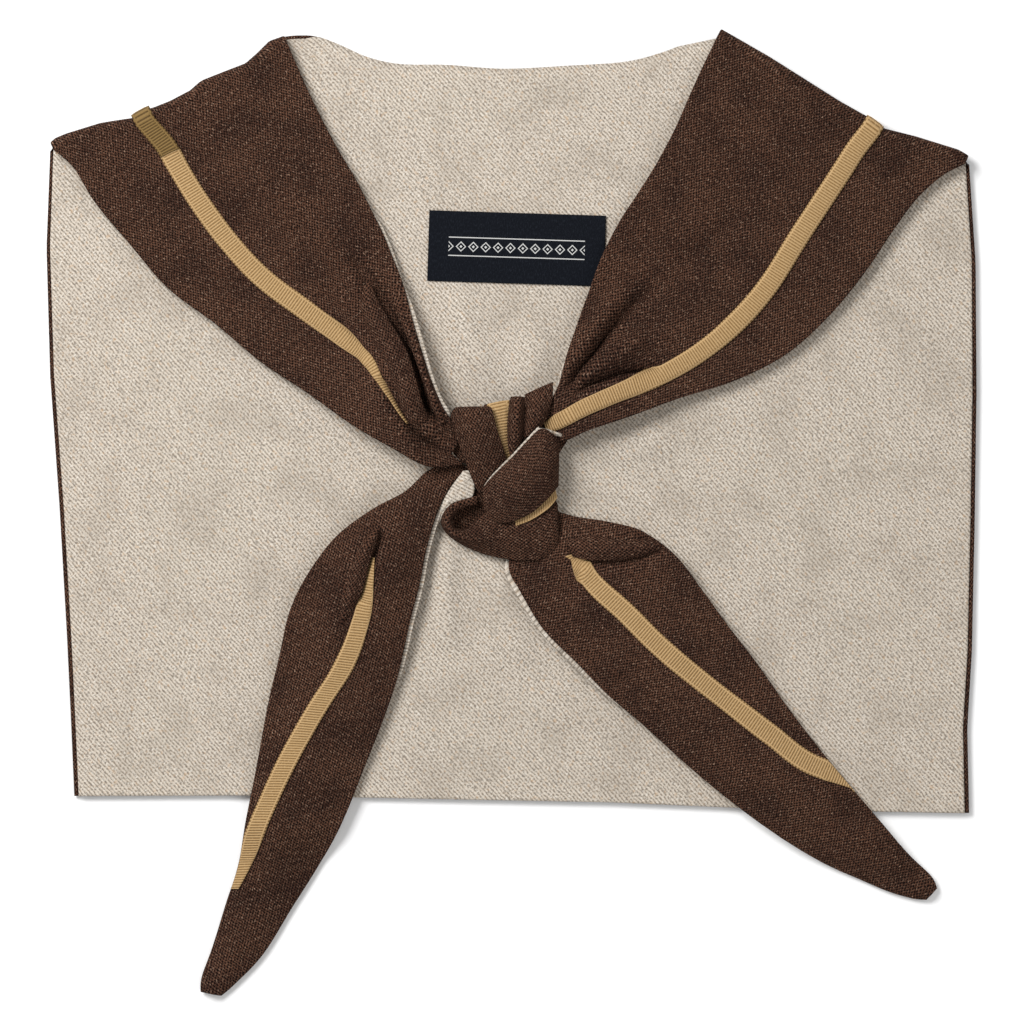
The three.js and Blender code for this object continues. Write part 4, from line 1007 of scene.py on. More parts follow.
@dataclass(frozen=True)
class LabelWeave:
    """Blue-black satin label with a plain woven row of lozenges in pale thread."""

    ground: tuple = (0.0035, 0.0045, 0.0075, 1.0)
    glint: tuple = (0.014, 0.017, 0.024, 1.0)
    thread: tuple = (0.62, 0.62, 0.6, 1.0)
    glint_range: tuple = (0.45, 0.8)
    cover: float = 0.85
    line: float = 0.55 * MM
    weft: float = 0.5 * MM
    relief: float = 0.08 * MM
    lozenge_pitch: float = 2.1 * MM
    lozenge_size: float = 1.55 * MM
    outline_half: float = 0.22 * MM
    dot_size: float = 0.5 * MM
    rule_height: float = 3.1 * MM
    rule_half: float = 0.17 * MM
    row_half: float = 23.1 * MM

    def build(self, fibre: NodeTree) -> Material:
        """Makes the material. The UV is in metres from the label's middle.

        Args:
            fibre: the shared group of fibres.

        Returns:
            The material.
        """
        made = ClothMaterial("label_satin", 0.75, fibre)
        kit = made.kit
        x, y, _ = kit.split(made.cloth)
        fibres, _ = made.fibres(made.cloth)
        grain = kit.times(kit.sine(y, self.line), kit.sine(x, self.weft))
        ground = kit.mix(kit.ramp(fibres, *self.glint_range), self.ground, self.glint)
        height = kit.math("ABSOLUTE", y)
        inner = kit.plus(kit.math("PINGPONG", kit.plus(x, self.lozenge_pitch), self.lozenge_pitch), height)
        lozenge = kit.math("MAXIMUM", kit.near(inner, self.lozenge_size, self.outline_half),
                           kit.math("LESS_THAN", inner, self.dot_size))
        ruled = kit.math("MAXIMUM", lozenge, kit.near(height, self.rule_height, self.rule_half))
        woven = kit.times(ruled, kit.near(x, 0.0, self.row_half))
        return made.finish(kit.mix(kit.times(woven, self.cover), ground, self.thread), kit.plus(grain, fibres),
                           self.relief, 0.6)


@dataclass
class Looks:
    """All the finishes, built once."""

    brown: Material = field(init=False)
    twill: Material = field(init=False)
    ribbon: Material = field(init=False)
    # Painted shade: a darker copy of the ribbon, laid where the left ribbon turns over the shoulder
    shaded_ribbon: Material = field(init=False)
    label: Material = field(init=False)

    def __post_init__(self) -> None:
        """Builds the shared groups and every material."""
        fibre = fibre_group()
        self.brown = WovenBrown().build(fibre, crossing_group())
        self.twill = MelangeTwill().build(fibre)
        self.ribbon = Grosgrain().build(fibre)
        # Painted shade: darker colours for the ribbon's start at the shoulder turn, which lies in shadow
        self.shaded_ribbon = Grosgrain(name="shade_painted_grosgrain", bright=(0.2, 0.125, 0.045, 1.0),
                                       valley=(0.07, 0.04, 0.013, 1.0), sheen=(0.27, 0.18, 0.075, 1.0),
                                       selvedge_and_edge_shade=(0.04, 0.02, 0.007, 1.0)).build(fibre)
        self.label = LabelWeave().build(fibre)


@dataclass
class FrontPlan:
    """Plan of one front: rows from the shoulder fold to the knot, columns from the inner edge out."""

    inner: tuple
    ribbon: tuple
    outer: tuple
    width: tuple
    shoulder: tuple
    rows: int = 210
    inner_steps: int = 54
    ribbon_steps: int = 4
    outer_steps: int = 12
    set_back_rate: float = 3.0
    wave_rate: float = 9.0
    straight_end: float = 0.02
    tangent_step: float = 0.001
    points: Array = field(init=False)
    inward: Array = field(init=False)
    side: float = field(init=False)
    along: Array = field(init=False)

    def __post_init__(self) -> None:
        """Works out the plan's points, set back from the fold by the roll."""
        inner, ribbon, outer = place(self.inner), place(self.ribbon), place(self.outer)
        line = outer[0] - inner[0]
        line /= np.linalg.norm(line)
        self.side = float(np.sign(line[0]))
        self.inward = np.array([line[1] * self.side, -line[0] * self.side])
        t = np.linspace(0, 1, self.rows + 1)
        self.along = t
        shift = (S.roll_radius + S.pair_half) * (1 - smooth(self.set_back_rate * t))[:, None] * self.inward
        half = S.ribbon_width / 2
        shown = 2 * half * table_read(self.width, 1, t)[:, None]
        near = np.clip(t, self.straight_end, 1 - self.straight_end)
        tangent = spline(ribbon, near + self.tangent_step) - spline(ribbon, near - self.tangent_step)
        tangent /= np.linalg.norm(tangent, axis=1, keepdims=True)
        away = np.stack([-tangent[:, 1], tangent[:, 0]], -1) * self.side
        middle = spline(ribbon, t)
        marks = [spline(inner, t), middle + away * (half - shown), middle + away * half, spline(outer, t)]
        shares = (steps(self.inner_steps, edge_low=True), steps(self.ribbon_steps)[1:],
                  steps(self.outer_steps, edge_high=True)[1:])
        flat = np.concatenate([marks[k][:, None] + share[None, :, None] * (marks[k + 1] - marks[k])[:, None]
                               for k, share in enumerate(shares)], 1)
        share = (flat[0] - inner[0]) @ line / np.linalg.norm(outer[0] - inner[0])
        wave = table_read(self.shoulder, 1, np.clip(share, 0, 1)) * MM * (1 - smooth(self.wave_rate * t))[:, None]
        self.points = flat + shift[:, None] - wave[..., None] * self.inward


@dataclass
class Sewing:
    """Sews ribbons on grids of the cloth's reference points."""

    maker: ClothMaker
    looks: Looks
    row_step: float = 0.45 * MM
    edge_round: float = 0.25 * MM
    pucker: float = 0.07 * MM
    pucker_size: float = 5 * MM

    def evened(self, grid: Array) -> Array:
        """Spaces a grid's rows evenly, about a step apart, drawn in by the air at both ends.

        Args:
            grid: the reference points.

        Returns:
            The new rows of points.
        """
        centre = grid.mean(1)
        run = np.concatenate([[0], np.cumsum(np.linalg.norm(np.diff(centre, axis=0), axis=1))])
        at = np.linspace(S.air, run[-1] - S.air, int(run[-1] / self.row_step))
        columns = grid.transpose(1, 0, 2)
        return read_rows(np.tile(run, (len(columns), 1)), columns, at).transpose(1, 0, 2)

    def sew(self, name: str, grid: Array, over: float = 0.0, look: Material = None) -> Object:
        """Makes one ribbon, raised over the cloth or over another ribbon.

        Args:
            name: the CAD ribbon's name.
            grid: the reference points under it.
            over: how much higher than on the cloth it lies.
            look: a material of its own, for a ribbon that stands for no node.

        Returns:
            The ribbon.
        """
        grid = self.evened(grid)
        uv = arc_uv(grid)
        puckers = self.pucker * noise(uv[..., 1], 0 * uv[..., 1], self.pucker_size, len(name))
        middle = S.pair_half + S.air + over + S.ribbon_thickness / 2 + np.maximum(puckers, 0)
        return self.stripe(name.replace("ribbon", "stripe"), grid, middle, look, *([] if look else [name]))

    def stripe(self, name: str, grid: Array, middle: Array | float, look: Material | None,
               *nodes: str) -> Object:
        """Makes a stripe of ribbon.

        Args:
            name: the stripe's name.
            grid: its reference points.
            middle: offset of the ribbon's middle from them.
            look: a material of its own, or None for the ribbon's.
            *nodes: the CAD nodes that it replaces.

        Returns:
            The stripe.
        """
        half = half_thickness(grid, S.ribbon_thickness, self.edge_round)
        piece = self.maker.solid(name, Block.about(grid, arc_uv(grid), middle, half))
        finish_piece(piece, look or self.looks.ribbon, Finish.RIBBON, *nodes)
        return piece


@dataclass
class CollarCloth:
    """Outer cloth, lining and ribbons of the back and the fronts."""

    maker: ClothMaker
    looks: Looks
    hem_steps: int = 16
    ribbon_rows: int = 4
    top_steps: int = 56
    neck_steps: int = 44
    roll_steps: int = 12
    edge_round: float = 0.55 * MM
    least_bed: float = 0.5 * MM
    bead: float = 0.95 * MM
    bead_width: float = 1.35 * MM
    bead_slope: float = 0.5 * MM
    slack_edge: float = 30 * MM
    slack_fade: tuple = (0.015, (0.12, 0.1))
    slack_wrinkle: tuple = (0.2 * MM, 30 * MM, 12)
    neck_share: float = 0.97
    start_rate: float = 3.0
    rise_span: tuple = (0.55, 0.3)
    sink_span: tuple = (0.87, 0.12)
    sink_share: float = 0.78
    left_peek: tuple = (0.48, 0.1)
    right_peek: tuple = (0.82, 0.1)
    peek_end: tuple = (0.94, 0.05)
    neck_rim: float = 1.3 * MM
    neck_rim_depth: float = 9 * MM
    neck_rim_across: tuple = (-22.4, 1.6)
    cut_back: float = 0.9 * MM
    front_turn: float = 38.0
    # Rows and raise of the darker ribbon copy that paints the shade at the shoulder turn
    shade_patch_share: float = 0.19
    shade_patch_over: float = 0.55 * MM
    sheet_flat: tuple = (0.38, 0.42)
    sheet_area: float = 0.1

    def __post_init__(self) -> None:
        """Works out the plans of both fronts."""
        self.left = FrontPlan(LEFT_INNER, LEFT_RIBBON, LEFT_OUTER, LEFT_RIBBON_WIDTH, LEFT_SHOULDER)
        self.right = FrontPlan(RIGHT_INNER, RIGHT_RIBBON, RIGHT_OUTER, RIGHT_RIBBON_WIDTH, RIGHT_SHOULDER)

    @property
    def back_rows(self) -> int:
        """Rows of the back, from the hem to the shoulder."""
        return self.hem_steps + self.ribbon_rows + self.top_steps + 1

    def back_grid(self) -> Array:
        """The back's reference surface: straight lines from the hem to the top, bent by the sides' table.

        Returns:
            Rows from the hem up, by columns from the left. Height = the back's level + slack.
        """
        neck = spline(place(NECK_EDGE), np.linspace(0, 1, self.neck_steps + 1)[1:-1] * self.neck_share)
        top = np.concatenate([self.left.points[0, ::-1], neck, self.right.points[0]])
        hem_left, hem_right = SIDES[-1][1] / 100 * S.back_width, SIDES[-1][2] / 100 * S.back_width
        width = hem_right - hem_left
        outer, ribbon = self.left.outer_steps, self.left.ribbon_steps
        out_share = S.ribbon_side_inset / width
        in_share = (S.ribbon_side_inset + S.ribbon_width) / width
        first = out_share * steps(outer, edge_low=True)
        second = np.linspace(out_share, in_share, ribbon + 1)[1:]
        middle = np.linspace(in_share, 1 - in_share, len(top) - 2 * (outer + ribbon))[1:]
        share = np.concatenate([first, second, middle, 1 - second[:-1][::-1], 1 - first[::-1]])
        up = self.back_ups()
        hem_y = -table_read(HEM, 1, share) / 100 * S.back_length
        hem = np.stack([hem_left + width * share, hem_y], -1)
        plan = hem[None] + up[:, None, None] * (top - hem)[None]
        for column, corner, weight in ((1, top[0, 0], 1 - share), (2, top[-1, 0], share)):
            low = SIDES[-1][column] / 100 * S.back_width
            side = table_read(SIDES, column, 1 - up) / 100 * S.back_width
            plan[..., 0] += (side - (low + (corner - low) * up))[:, None] * weight
        slack = fold_height(BACK_SLACK, plan, MM) + wrinkles(plan, (self.slack_wrinkle,))
        inside = np.minimum(share, 1 - share)[None] * width
        near_fold, from_hem = self.slack_fade
        slack *= smooth(inside / self.slack_edge) * (smooth((1 - up) / near_fold) * after(up, *from_hem))[:, None]
        level = S.back_level + np.maximum(slack, -S.air)
        return np.concatenate([plan, level[..., None]], -1)

    def back_ups(self) -> Array:
        """Places of the back's rows.

        Returns:
            Shares of the way up the back, with rows at the hem ribbon's edges and close rows at the hem.
        """
        low = S.ribbon_hem_inset / S.back_length
        high = (S.ribbon_hem_inset + S.ribbon_width) / S.back_length
        ribbon = np.linspace(low, high, self.ribbon_rows + 1)[1:]
        top = high + (1 - high) * steps(self.top_steps)[1:]
        return np.concatenate([low * steps(self.hem_steps, edge_low=True), ribbon, top])

    def roll(self, plan: FrontPlan) -> Array:
        """Half circle of the shoulder roll.

        Args:
            plan: the front's plan.

        Returns:
            Rows that go out by r sin a and up by r (1 - cos a) from the fold's row.
        """
        turn = np.pi * np.arange(1, self.roll_steps) / self.roll_steps
        flat = plan.points[0][None] - (S.roll_radius * np.sin(turn))[:, None, None] * plan.inward
        level = S.back_level + S.roll_radius * (1 - np.cos(turn))
        return np.concatenate([flat, np.broadcast_to(level[:, None, None], flat.shape[:2] + (1,))], -1)

    def front(self, plan: FrontPlan, folds: tuple, seed: int) -> Array:
        """A front's reference surface.

        Args:
            plan: the front's plan.
            folds: its table of folds.
            seed: seed of its small wrinkles.

        Returns:
            The points: height = level + rise to the knot + folds + wrinkles, kept over the lining below.
        """
        t = plan.along[:, None]
        rise = S.front_lift * after(t, *self.rise_span) * (1 - self.sink_share * after(t, *self.sink_span))
        small = wrinkles(plan.points, ((0.35 * MM, 26 * MM, seed), (0.12 * MM, 8 * MM, seed + 1)))
        relief = smooth(self.start_rate * t) * (fold_height(folds, plan.points, S.fold_depth) + small)
        lowest = S.back_level + 2 * S.pair_half + self.least_bed
        level = np.maximum(S.front_level + rise + relief, lowest)
        return np.concatenate([plan.points, level[..., None]], -1)

    def grids(self) -> tuple:
        """The three grids of reference points.

        Returns:
            The back's left with its front, the back's middle, and the back's right with its front.
        """
        back = self.back_grid()
        columns = self.left.points.shape[1]
        left_front = self.front(self.left, LEFT_FOLDS, 3)
        right_front = self.front(self.right, RIGHT_FOLDS, 8)
        left = np.concatenate([back[:, :columns], self.roll(self.left)[:, ::-1], left_front[:, ::-1]])
        right = np.concatenate([back[:, -columns:], self.roll(self.right), right_front])
        return left, back[:, columns - 1: back.shape[1] - columns + 1], right

    def uv_of(self, points: Array, side: int) -> Array:
        """Cloth coordinates of a grid.

        Args:
            points: the grid.
            side: -1 for the left grid, 0 for the middle, 1 for the right.

        Returns:
            The plan on the back, and the plan turned with the cloth on a front. On the roll they run on from
            the front's first row, by the length along the cloth.
        """
        uv, seam = turned_uv(points, 0), self.roll_steps - 1
        if side:
            cloth = points[self.back_rows:].copy()
            lengths = np.linalg.norm(np.diff(cloth[:seam + 1], axis=0), axis=-1)
            cloth[:seam, :, 0] = cloth[seam, :, 0]
            cloth[:seam, :, 1] = cloth[seam, :, 1] + np.cumsum(lengths[::-1], axis=0)[::-1]
            uv[self.back_rows:] = turned_uv(cloth, -self.front_turn * side)
        return uv

    def build(self) -> None:
        """Makes the outer cloth, the lining and the ribbons."""
        left, middle, right = self.grids()
        centre, half = (S.half_air + S.pair_half) / 2, S.cloth / 2
        shell, lining = [], []
        for points, side in ((left, -1), (middle, 0), (right, 1)):
            near, bead = np.minimum(*end_distance(points)), 0.0
            if side:
                outer, inner = edge_distance(points)[::-side]
                on_front = np.arange(len(points))[:, None] >= self.back_rows - 1
                near = np.minimum(np.minimum(near, outer), np.where(on_front, inner, 1.0))
                bead = smooth((self.bead_width - outer) / self.bead_slope) * self.bead
            round_off = rounding(near, self.edge_round)
            uv = self.uv_of(points, side)
            low = centre - half * round_off - bead * round_off
            shell.append(Block(points, uv, low, centre + half * round_off))
            lining.append(Block.about(self.lining_points(points, side), uv, -centre, half * round_off))
        outer_piece = self.maker.solid("shell_cloth", *shell)
        finish_piece(outer_piece, self.looks.brown, Finish.OUTER, "collar_shell")
        lining_piece = self.maker.solid("lining_cloth", *lining)
        finish_piece(lining_piece, self.looks.twill, Finish.LINING, "collar_lining")
        stripes = self.ribbons(left, middle, right)

    def lining_points(self, points: Array, side: int) -> Array:
        """The lining's reference points.

        Args:
            points: the shared reference points.
            side: -1 for the left grid, 0 for the middle, 1 for the right.

        Returns:
            The points, drawn in from the outer edge, and out past a front's inner edge near the knot.
        """
        if not side:
            moved = points.copy()
            across = points[..., 0] / S.back_width * 100
            rim = self.neck_rim * (1 - after(across, *self.neck_rim_across))
            moved[..., 1] -= rim * smooth(1 - end_distance(points)[1] / self.neck_rim_depth)
            return moved
        grid = points[:, ::-side]
        run = edge_distance(grid)[0]
        full = run[:, -1:]
        rows = np.arange(len(grid))
        past = (rows - self.back_rows) / self.left.rows
        shown = after(past, *(self.left_peek if side < 0 else self.right_peek)) * (1 - after(past, *self.peek_end))
        peek = (S.lining_peek + self.cut_back) * shown - self.cut_back
        peek = peek[:, None] * np.where(rows >= self.back_rows, 1, 0)[:, None]
        target = S.lining_rim + run * ((full - S.lining_rim) / full) + (run / full)**4 * peek
        step = grid[:, -1:] - grid[:, -2:-1]
        out = np.maximum(target - full, 0)[..., None] * step / np.linalg.norm(step, axis=-1, keepdims=True)
        return (read_rows(run, grid, target) + out)[:, ::-side]

    def ribbons(self, left: Array, middle: Array, right: Array) -> list:
        """Sews the ribbons on the same grids as the cloth, so that they stay parallel to it.

        Args:
            left: the left grid.
            middle: the middle grid.
            right: the right grid.

        Returns:
            The ribbons: left, a darker copy on its start at the shoulder turn that paints the shade there, right,
                and hem.
        """
        sewing = Sewing(self.maker, self.looks)
        columns, bottom = left.shape[1], self.hem_steps + self.ribbon_rows
        first = self.left.inner_steps
        last = first + self.left.ribbon_steps
        left_band, right_band = left[:, columns - 1 - last: columns - first], right[:, first: last + 1]
        front = self.back_rows + self.roll_steps - 1
        # Painted shade: the left ribbon's first rows on the front, covered by its darker copy
        turn = left_band[self.back_rows + 2: self.back_rows + 2 + int(self.left.rows * self.shade_patch_share)]
        outer = self.left.outer_steps
        whole = np.concatenate([left[:self.back_rows], middle[:, 1:], right[:self.back_rows, 1:]], 1)
        hem = whole[self.hem_steps: bottom + 1, outer: whole.shape[1] - outer].transpose(1, 0, 2)[:, ::-1]
        return [sewing.sew("ribbon_left", left_band[bottom: front + int(self.left.rows * LEFT_RIBBON_END)]),
                sewing.sew("ribbon_turn", turn, self.shade_patch_over, self.looks.shaded_ribbon),
                sewing.sew("ribbon_right", right_band[bottom: front + int(self.left.rows * RIGHT_RIBBON_END)]),
                sewing.sew("ribbon_hem", hem)]


@dataclass
class Tail:
    """One pointed tail: outer cloth, lining and ribbon.

    `shown` is where its ribbon starts and ends along it. `peek` is the edge column past which the lining
    shows, and the share of the length down to which it does.
    """

    name: str
    left: tuple
    right: tuple
    ribbon: tuple
    folds: tuple
    maker: ClothMaker
    looks: Looks
    shown: tuple
    peek: tuple
    weave_turn: float
    lift: float = 3.6 * MM
    rise_end: float = 0.2
    sink_span: tuple = (0.25, 0.5)
    start_rate: float = 4.0
    deepest: tuple = (0.9, 0.5 * MM)
    small: tuple = ((0.25 * MM, 14 * MM, 21), (0.1 * MM, 6 * MM, 22))
    peek_out: float = 1.1 * S.lining_peek
    peek_up: float = 0.8
    peek_start: float = 0.06
    peek_fade: float = 0.12
    least_ribbon: float = 0.05
    rows: int = 260
    columns: int = 60
    ribbon_rows: int = 200
    ribbon_steps: int = 8
    ribbon_rim: float = 0.4 * MM
    edge_round: float = 0.55 * MM

    def surface(self, t: Array, shares: Array) -> Array:
        """Points of the tail: an arch between both edges with folds and fine wrinkles.

        Args:
            t: the share along the tail, for each row.
            shares: the share across it, rows by columns.

        Returns:
            The points: height = level + arch sin(pi s) + folds + noise, with s the share across.
        """
        a, b = spline(place(self.left), t), spline(place(self.right), t)
        span = b - a
        width = np.linalg.norm(span, axis=1)
        plan = a[:, None] + span[:, None] * shares[..., None]
        narrow = np.minimum(1, width / (4 * S.tail_arch))[:, None]
        arch = S.tail_arch * np.sin(np.pi * shares) * narrow * smooth(self.start_rate * t)[:, None]
        lowest = -self.deepest[0] * arch - self.deepest[1]
        relief = np.maximum(lowest, fold_height(self.folds, plan, S.fold_depth))
        raised = self.lift * smooth(t / self.rise_end) * (1 - after(t, *self.sink_span))
        x, y = plan[..., 0], plan[..., 1]
        hem = -table_read(HEM, 1, np.clip(x / S.back_width + 0.5, 0, 1)) / 100 * S.back_length
        level = S.tail_level + (S.pair_half - S.tail_level) * after(hem - y, S.tail_reach, S.tail_drop)
        height = level + arch + relief + raised[:, None] + wrinkles(plan, self.small) * np.minimum(1, arch / MM)
        return np.concatenate([plan, height[..., None]], -1)

    def ribbon_grid(self) -> Array:
        """Points under the ribbon: its width about its line, cut off at the tail's edges.

        Returns:
            The points, rows by columns.
        """
        t = np.linspace(self.shown[0], self.shown[1], self.ribbon_rows)
        width = np.linalg.norm(spline(place(self.right), t) - spline(place(self.left), t), axis=1)
        line = spline(np.asarray(self.ribbon, float), t)
        half = S.ribbon_width * np.clip(line[:, 1], self.least_ribbon, 1) / width / 2
        rim = self.ribbon_rim / width
        low = np.clip(line[:, 0] - half, rim, 1 - 2 * rim)
        high = np.clip(line[:, 0] + half, low + rim / 2, 1 - rim)
        return self.surface(t, low[:, None] + (high - low)[:, None] * steps(self.ribbon_steps))

    def facing(self, points: Array, t: Array) -> Array:
        """The lining's points.

        Args:
            points: the shared reference points.
            t: the share along the tail, for each row.

        Returns:
            The points, with one edge moved out and up past the outer cloth, as far down as it shows.
        """
        moved, (rim, end) = points.copy(), self.peek
        out = self.peek_out * smooth(t / self.peek_start) * (1 - after(t, end, self.peek_fade))
        away = points[:, rim] - points[:, 1 if rim == 0 else rim - 1]
        moved[:, rim] += away / np.linalg.norm(away, axis=1, keepdims=True) * out[:, None]
        moved[:, rim, 2] += self.peek_up * out
        return moved

    def build(self) -> None:
        """Makes the tail's three pieces."""
        t = np.linspace(0, 1, self.rows + 1)
        points = self.surface(t, np.tile(steps(self.columns, True, True), (len(t), 1)))
        half, middle = half_thickness(points, S.cloth, self.edge_round), (S.half_air + S.pair_half) / 2
        uv = turned_uv(points, self.weave_turn)
        outer = self.maker.solid(f"{self.name}_cloth", Block.about(points, uv, middle, half))
        finish_piece(outer, self.looks.brown, Finish.OUTER, f"{self.name}_shell")
        under = self.maker.solid(f"{self.name}_facing", Block.about(self.facing(points, t), uv, -middle, half))
        finish_piece(under, self.looks.twill, Finish.LINING, f"{self.name}_lining")
        width, length, area = laid_out(points)
        stripe = Sewing(self.maker, self.looks).sew(f"{self.name}_ribbon", self.ribbon_grid())


@dataclass
class Knot:
    """The passes of cloth that make the knot, and the bulging folds beside it."""

    maker: ClothMaker
    looks: Looks
    rows: int = 84
    columns: int = 48
    edge_round: float = 0.6 * MM
    wrinkle: float = 0.3 * MM
    wrinkle_size: float = 4 * MM
    wrinkle_span: tuple = (30 * MM, 14 * MM)
    bare_end: float = 0.02
    facing_cloth: float = 0.8 * MM
    facing_first_row: int = 32
    facing_steps: int = 30
    facing_out: float = 1.05 * MM
    facing_inside: float = 10 * MM
    facing_round: float = 0.4 * MM
    facing_drop: tuple = (0.55 * MM, 0.2 * MM)
    lining_turn: float = 20.0

    def grid(self, table: tuple, seed: int) -> Array:
        """A pass of cloth.

        Args:
            table: its rows of edges and heights.
            seed: seed of its wrinkles.

        Returns:
            Its points: height = mix(left, right, s) + swell sin(pi s) + wrinkles, with s the share across.
        """
        rows = np.asarray(table, float)
        t = np.linspace(0, 1, self.rows + 1)
        a, b = spline(place(rows[:, 0:2]), t), spline(place(rows[:, 2:4]), t)
        shares = steps(self.columns, True, True)
        low, crown, high = (spline(rows[:, 4:7], t) / 100 * S.knot_height).T[..., None]
        plan = a[:, None] + shares[None, :, None] * (b - a)[:, None]
        level = low + (high - low) * shares + (crown - (low + high) / 2) * np.sin(np.pi * shares)
        fade = np.sin(np.pi * shares) * np.sin(np.pi * np.clip(t, self.bare_end, 1 - self.bare_end))[:, None]
        x, y = (span * place_on + 0 * level for span, place_on in zip(self.wrinkle_span, (shares[None], t[:, None])))
        ripple = noise(x, y, self.wrinkle_size, seed)
        return np.concatenate([plan, (level + self.wrinkle * ripple * fade)[..., None]], -1)

    def add(self, name: str, node: str | None, table: tuple, seed: int, finish: Finish = Finish.OUTER,
            on_it: tuple = ()) -> Array:
        """Args:
            name: the piece's name.
            node: the CAD node that it replaces, if any.
            table: its rows of edges and heights.
            seed: seed of its wrinkles.
            finish: outer cloth or lining.
            on_it: the pieces that are sewn on it; not used.

        Returns:
            Its points.
        """
        points, is_outer = self.grid(table, seed), finish is Finish.OUTER
        uv = arc_uv(points) if is_outer else turned_uv(points, self.lining_turn)
        half = half_thickness(points, S.knot_cloth, self.edge_round)
        piece = self.maker.solid(name, Block.about(points, uv, 0.0, half))
        finish_piece(piece, self.looks.brown if is_outer else self.looks.twill, finish, *([node] if node else []))
        width, length, area = laid_out(points)
        return points

    def facing(self, front: Array) -> None:
        """Makes the lining's folded edge, which looks out past the front pass's upper edge.

        Args:
            front: the front pass's points.
        """
        rows = front[self.facing_first_row:]
        lead = rows[:, 0] - rows[:, 3]
        lead[:, 2] = 0
        lead /= np.linalg.norm(lead, axis=1, keepdims=True)
        x = -self.facing_out + (self.facing_out + self.facing_inside) * np.linspace(0, 1, self.facing_steps)
        grid = read_rows(edge_distance(rows)[0], rows, x) + np.maximum(-x, 0)[None, :, None] * lead[:, None]
        half = half_thickness(grid, self.facing_cloth, self.facing_round)
        middle = -self.facing_drop[0] - self.facing_drop[1] * smooth(-x / self.facing_out + 0.5)[None]
        piece = self.maker.solid("front_facing", Block.about(grid, arc_uv(grid), middle, half))
        finish_piece(piece, self.looks.twill, Finish.LINING, "knot_front_lining")
        laid_out(grid)[:2]

    def build(self) -> None:
        """Makes every pass of the knot."""
        sewing, middle = Sewing(self.maker, self.looks), S.ribbon_thickness / 2
        band = self.grid(KNOT_UNDER, 31)[self.rows // 12:, self.columns // 4: self.columns * 23 // 25]
        above = S.knot_cloth / 2 + S.air / 2
        ribbon = sewing.stripe("rise_stripe", band, above + middle, None, "knot_rise_ribbon")
        self.add("under_pass", "knot_under", KNOT_UNDER, 31, on_it=(ribbon,))
        self.add("rise_pass", "knot_rise", KNOT_RISE, 37)
        self.add("upright_fold", "knot_fold", KNOT_FOLD, 32)
        self.add("gathered_end", "knot_gather", KNOT_GATHER, 33)
        self.facing(self.add("front_pass", "knot_front", KNOT_FRONT, 34))
        sliver = sewing.stripe("loop_stripe", self.grid(KNOT_SLIVER, 38), middle, None)
        self.add("loop_pass", "knot_loop", KNOT_LOOP, 35, on_it=(sliver,))
        self.add("turned_lining", "tail_left_turn", TAIL_TURN, 36, Finish.LINING)
        for name, table, seed in (("loop_inside", LOOP_INSIDE, 39), ("front_end", FRONT_END, 40),
                                  ("front_gather", FRONT_GATHER, 42), ("front_roll", FRONT_ROLL, 43),
                                  ("front_strip", FRONT_STRIP, 46), ("tail_left_roll", LEFT_TAIL_ROLL, 44),
                                  ("tail_right_roll", RIGHT_TAIL_ROLL, 45)):
            self.add(name, None, table, seed)
        self.add("frayed_edge", None, FRAYED_EDGE, 41, Finish.LINING)


@dataclass
class Label:
    """Woven label, a thin rounded sheet where the CAD label is."""

    maker: ClothMaker
    looks: Looks
    width: float = 60 * MM
    height: float = 24 * MM
    thickness: float = 0.6 * MM
    turn: float = -1.8
    columns: int = 90
    rows: int = 50
    edge_round: float = 0.3 * MM
    wave: tuple = (0.12 * MM, 7 * MM, 5)

    def build(self) -> None:
        """Makes the label: a grid turned about its middle, softly waved."""
        x, y = np.meshgrid((steps(self.columns, True, True) - 0.5) * self.width,
                           (0.5 - steps(self.rows, True, True)) * self.height)
        c, s = np.cos(radians(self.turn)), np.sin(radians(self.turn))
        middle = place(LABEL_PLACE)
        level = S.back_level + S.pair_half + S.air + self.thickness / 2
        wave = wrinkles(np.stack([x, y], -1), (self.wave,))
        points = np.stack([c * x - s * y + middle[0], s * x + c * y + middle[1], level + np.maximum(wave, 0)], -1)
        half = half_thickness(points, self.thickness, self.edge_round)
        piece = self.maker.solid("woven_label", Block.about(points, np.stack([x, y], -1), 0.0, half))
        finish_piece(piece, self.looks.label, Finish.LABEL, "label")


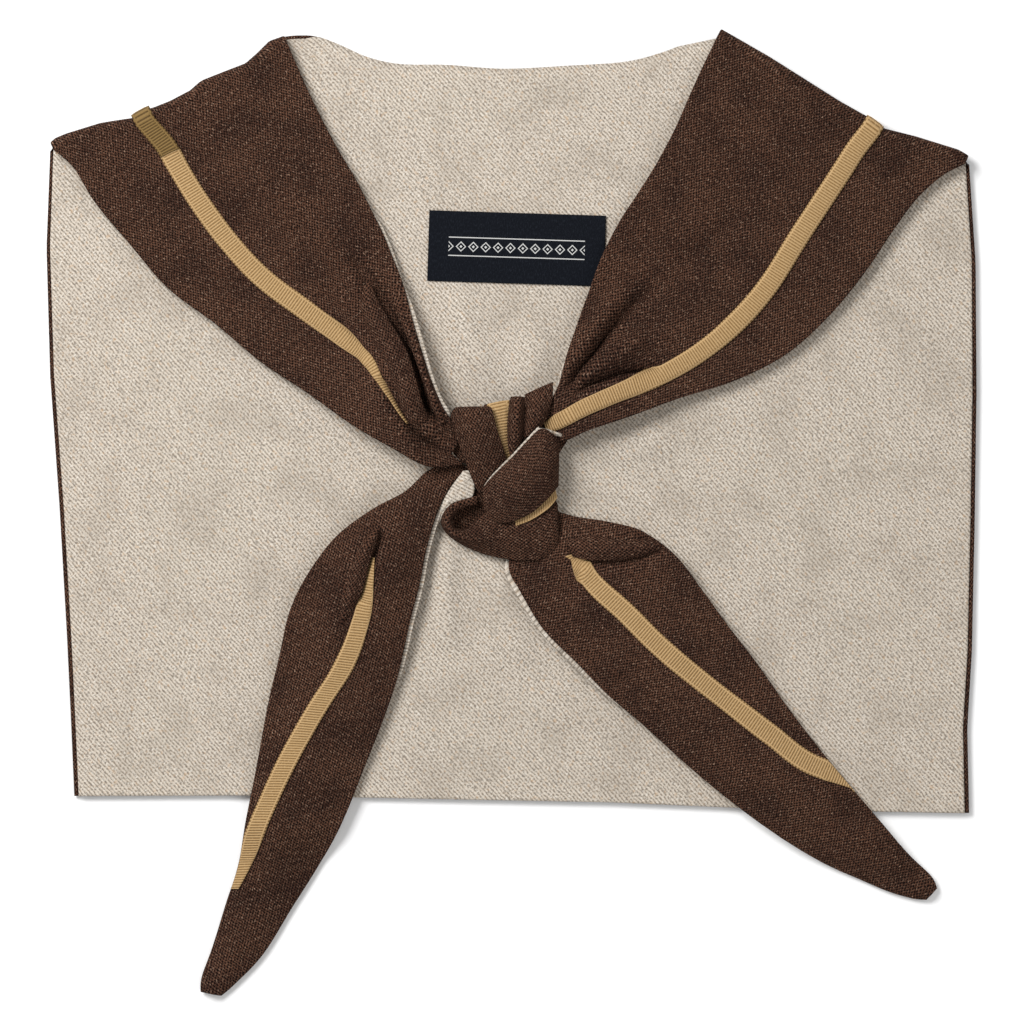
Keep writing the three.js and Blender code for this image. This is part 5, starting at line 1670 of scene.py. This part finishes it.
@dataclass
class Studio:
    """Pale floor, soft light and the camera straight above."""

    distance: float = 1.6
    sensor: float = 36.0
    clip_end: float = 10.0
    floor_half: float = 1.5
    floor_drop: float = 0.05 * MM
    world_strength: float = 0.4
    lamps: tuple = (("key_light", (-0.6, 0.55, 0.95), 0.55, 16.5), ("fill_light", (0.75, -0.3, 1.2), 1.0, 5))
    floor_colors: tuple = ((0.93, 0.93, 0.93, 1.0), (0.95, 0.95, 0.95, 1.0))

    def camera(self, middle: Vector) -> None:
        """Makes the camera, framed to 1024 pixels of the picture's scale.

        Args:
            middle: place under the photograph's middle.
        """
        data = bpy.data.cameras.new("camera")
        data.sensor_width = self.sensor
        data.lens = self.sensor * self.distance / (PICTURE * PIXEL)
        data.clip_end = self.clip_end
        camera = linked("camera", data)
        camera.location = middle + Vector((0, 0, self.distance))
        bpy.context.scene.camera = camera

    def light(self, name: str, location: tuple, size: float, power: float) -> None:
        """Adds a square soft light that looks at the origin.

        Args:
            name: the light's name.
            location: its place.
            size: its side.
            power: its power in watts.
        """
        data = bpy.data.lights.new(name, "AREA")
        data.size, data.energy = size, power
        lamp = linked(name, data)
        lamp.location = location
        lamp.rotation_euler = (-Vector(location)).to_track_quat("-Z", "Y").to_euler()

    def build(self) -> None:
        """Makes the floor, the lights and the world."""
        x, y = np.array([(-1, -1), (1, -1), (1, 1), (-1, 1)]).T * self.floor_half
        floor = mesh_object("floor", np.stack([x, y, np.full(4, -self.floor_drop)], -1), np.array([[0, 1, 2, 3]]))
        material = bpy.data.materials.new("pale_floor")
        material.use_nodes = True
        kit, shader = NodeKit(material.node_tree), material.node_tree.nodes["Principled BSDF"]
        soft = kit.noise(kit.add("ShaderNodeTexCoord").outputs["Object"], 4.0)
        kit.tree.links.new(kit.mix(soft, *self.floor_colors), shader.inputs["Base Color"])
        shader.inputs["Roughness"].default_value = 1.0
        floor.data.materials.append(material)
        for lamp in self.lamps:
            self.light(*lamp)
        world = bpy.data.worlds.new("studio")
        bpy.context.scene.world = world
        world.use_nodes = True
        world.node_tree.nodes["Background"].inputs[0].default_value = (1.0, 1.0, 1.0, 1.0)
        world.node_tree.nodes["Background"].inputs[1].default_value = self.world_strength
        bpy.context.scene.view_settings.view_transform = "Standard"


def main() -> None:
    """Builds the collar around the frame."""
    logging.basicConfig(level=logging.INFO, format="%(name)s %(message)s")
    low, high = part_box("label")
    label_middle = place(LABEL_PLACE)
    offset = (low + high) / 2 - Vector((label_middle[0], label_middle[1], 0))
    offset.z = 0
    studio = Studio()
    studio.camera(Vector((0, -(PICTURE / 2 - PICTURE_NECK_ROW) * PIXEL, 0)) + offset)
    studio.build()
    looks = Looks()
    maker = ClothMaker(offset)
    CollarCloth(maker, looks).build()
    Tail("tail_left", LEFT_TAIL_LEFT, LEFT_TAIL_RIGHT, LEFT_TAIL_RIBBON, LEFT_TAIL_FOLDS, maker, looks,
         (0.29, 0.775), (-1, 0.42), 20.0).build()
    Tail("tail_right", RIGHT_TAIL_LEFT, RIGHT_TAIL_RIGHT, RIGHT_TAIL_RIBBON, RIGHT_TAIL_FOLDS, maker, looks,
         (0.135, 0.73), (0, 0.28), -45.0).build()
    Knot(maker, looks).build()
    Label(maker, looks).build()


if __name__ == "__main__":
    main()
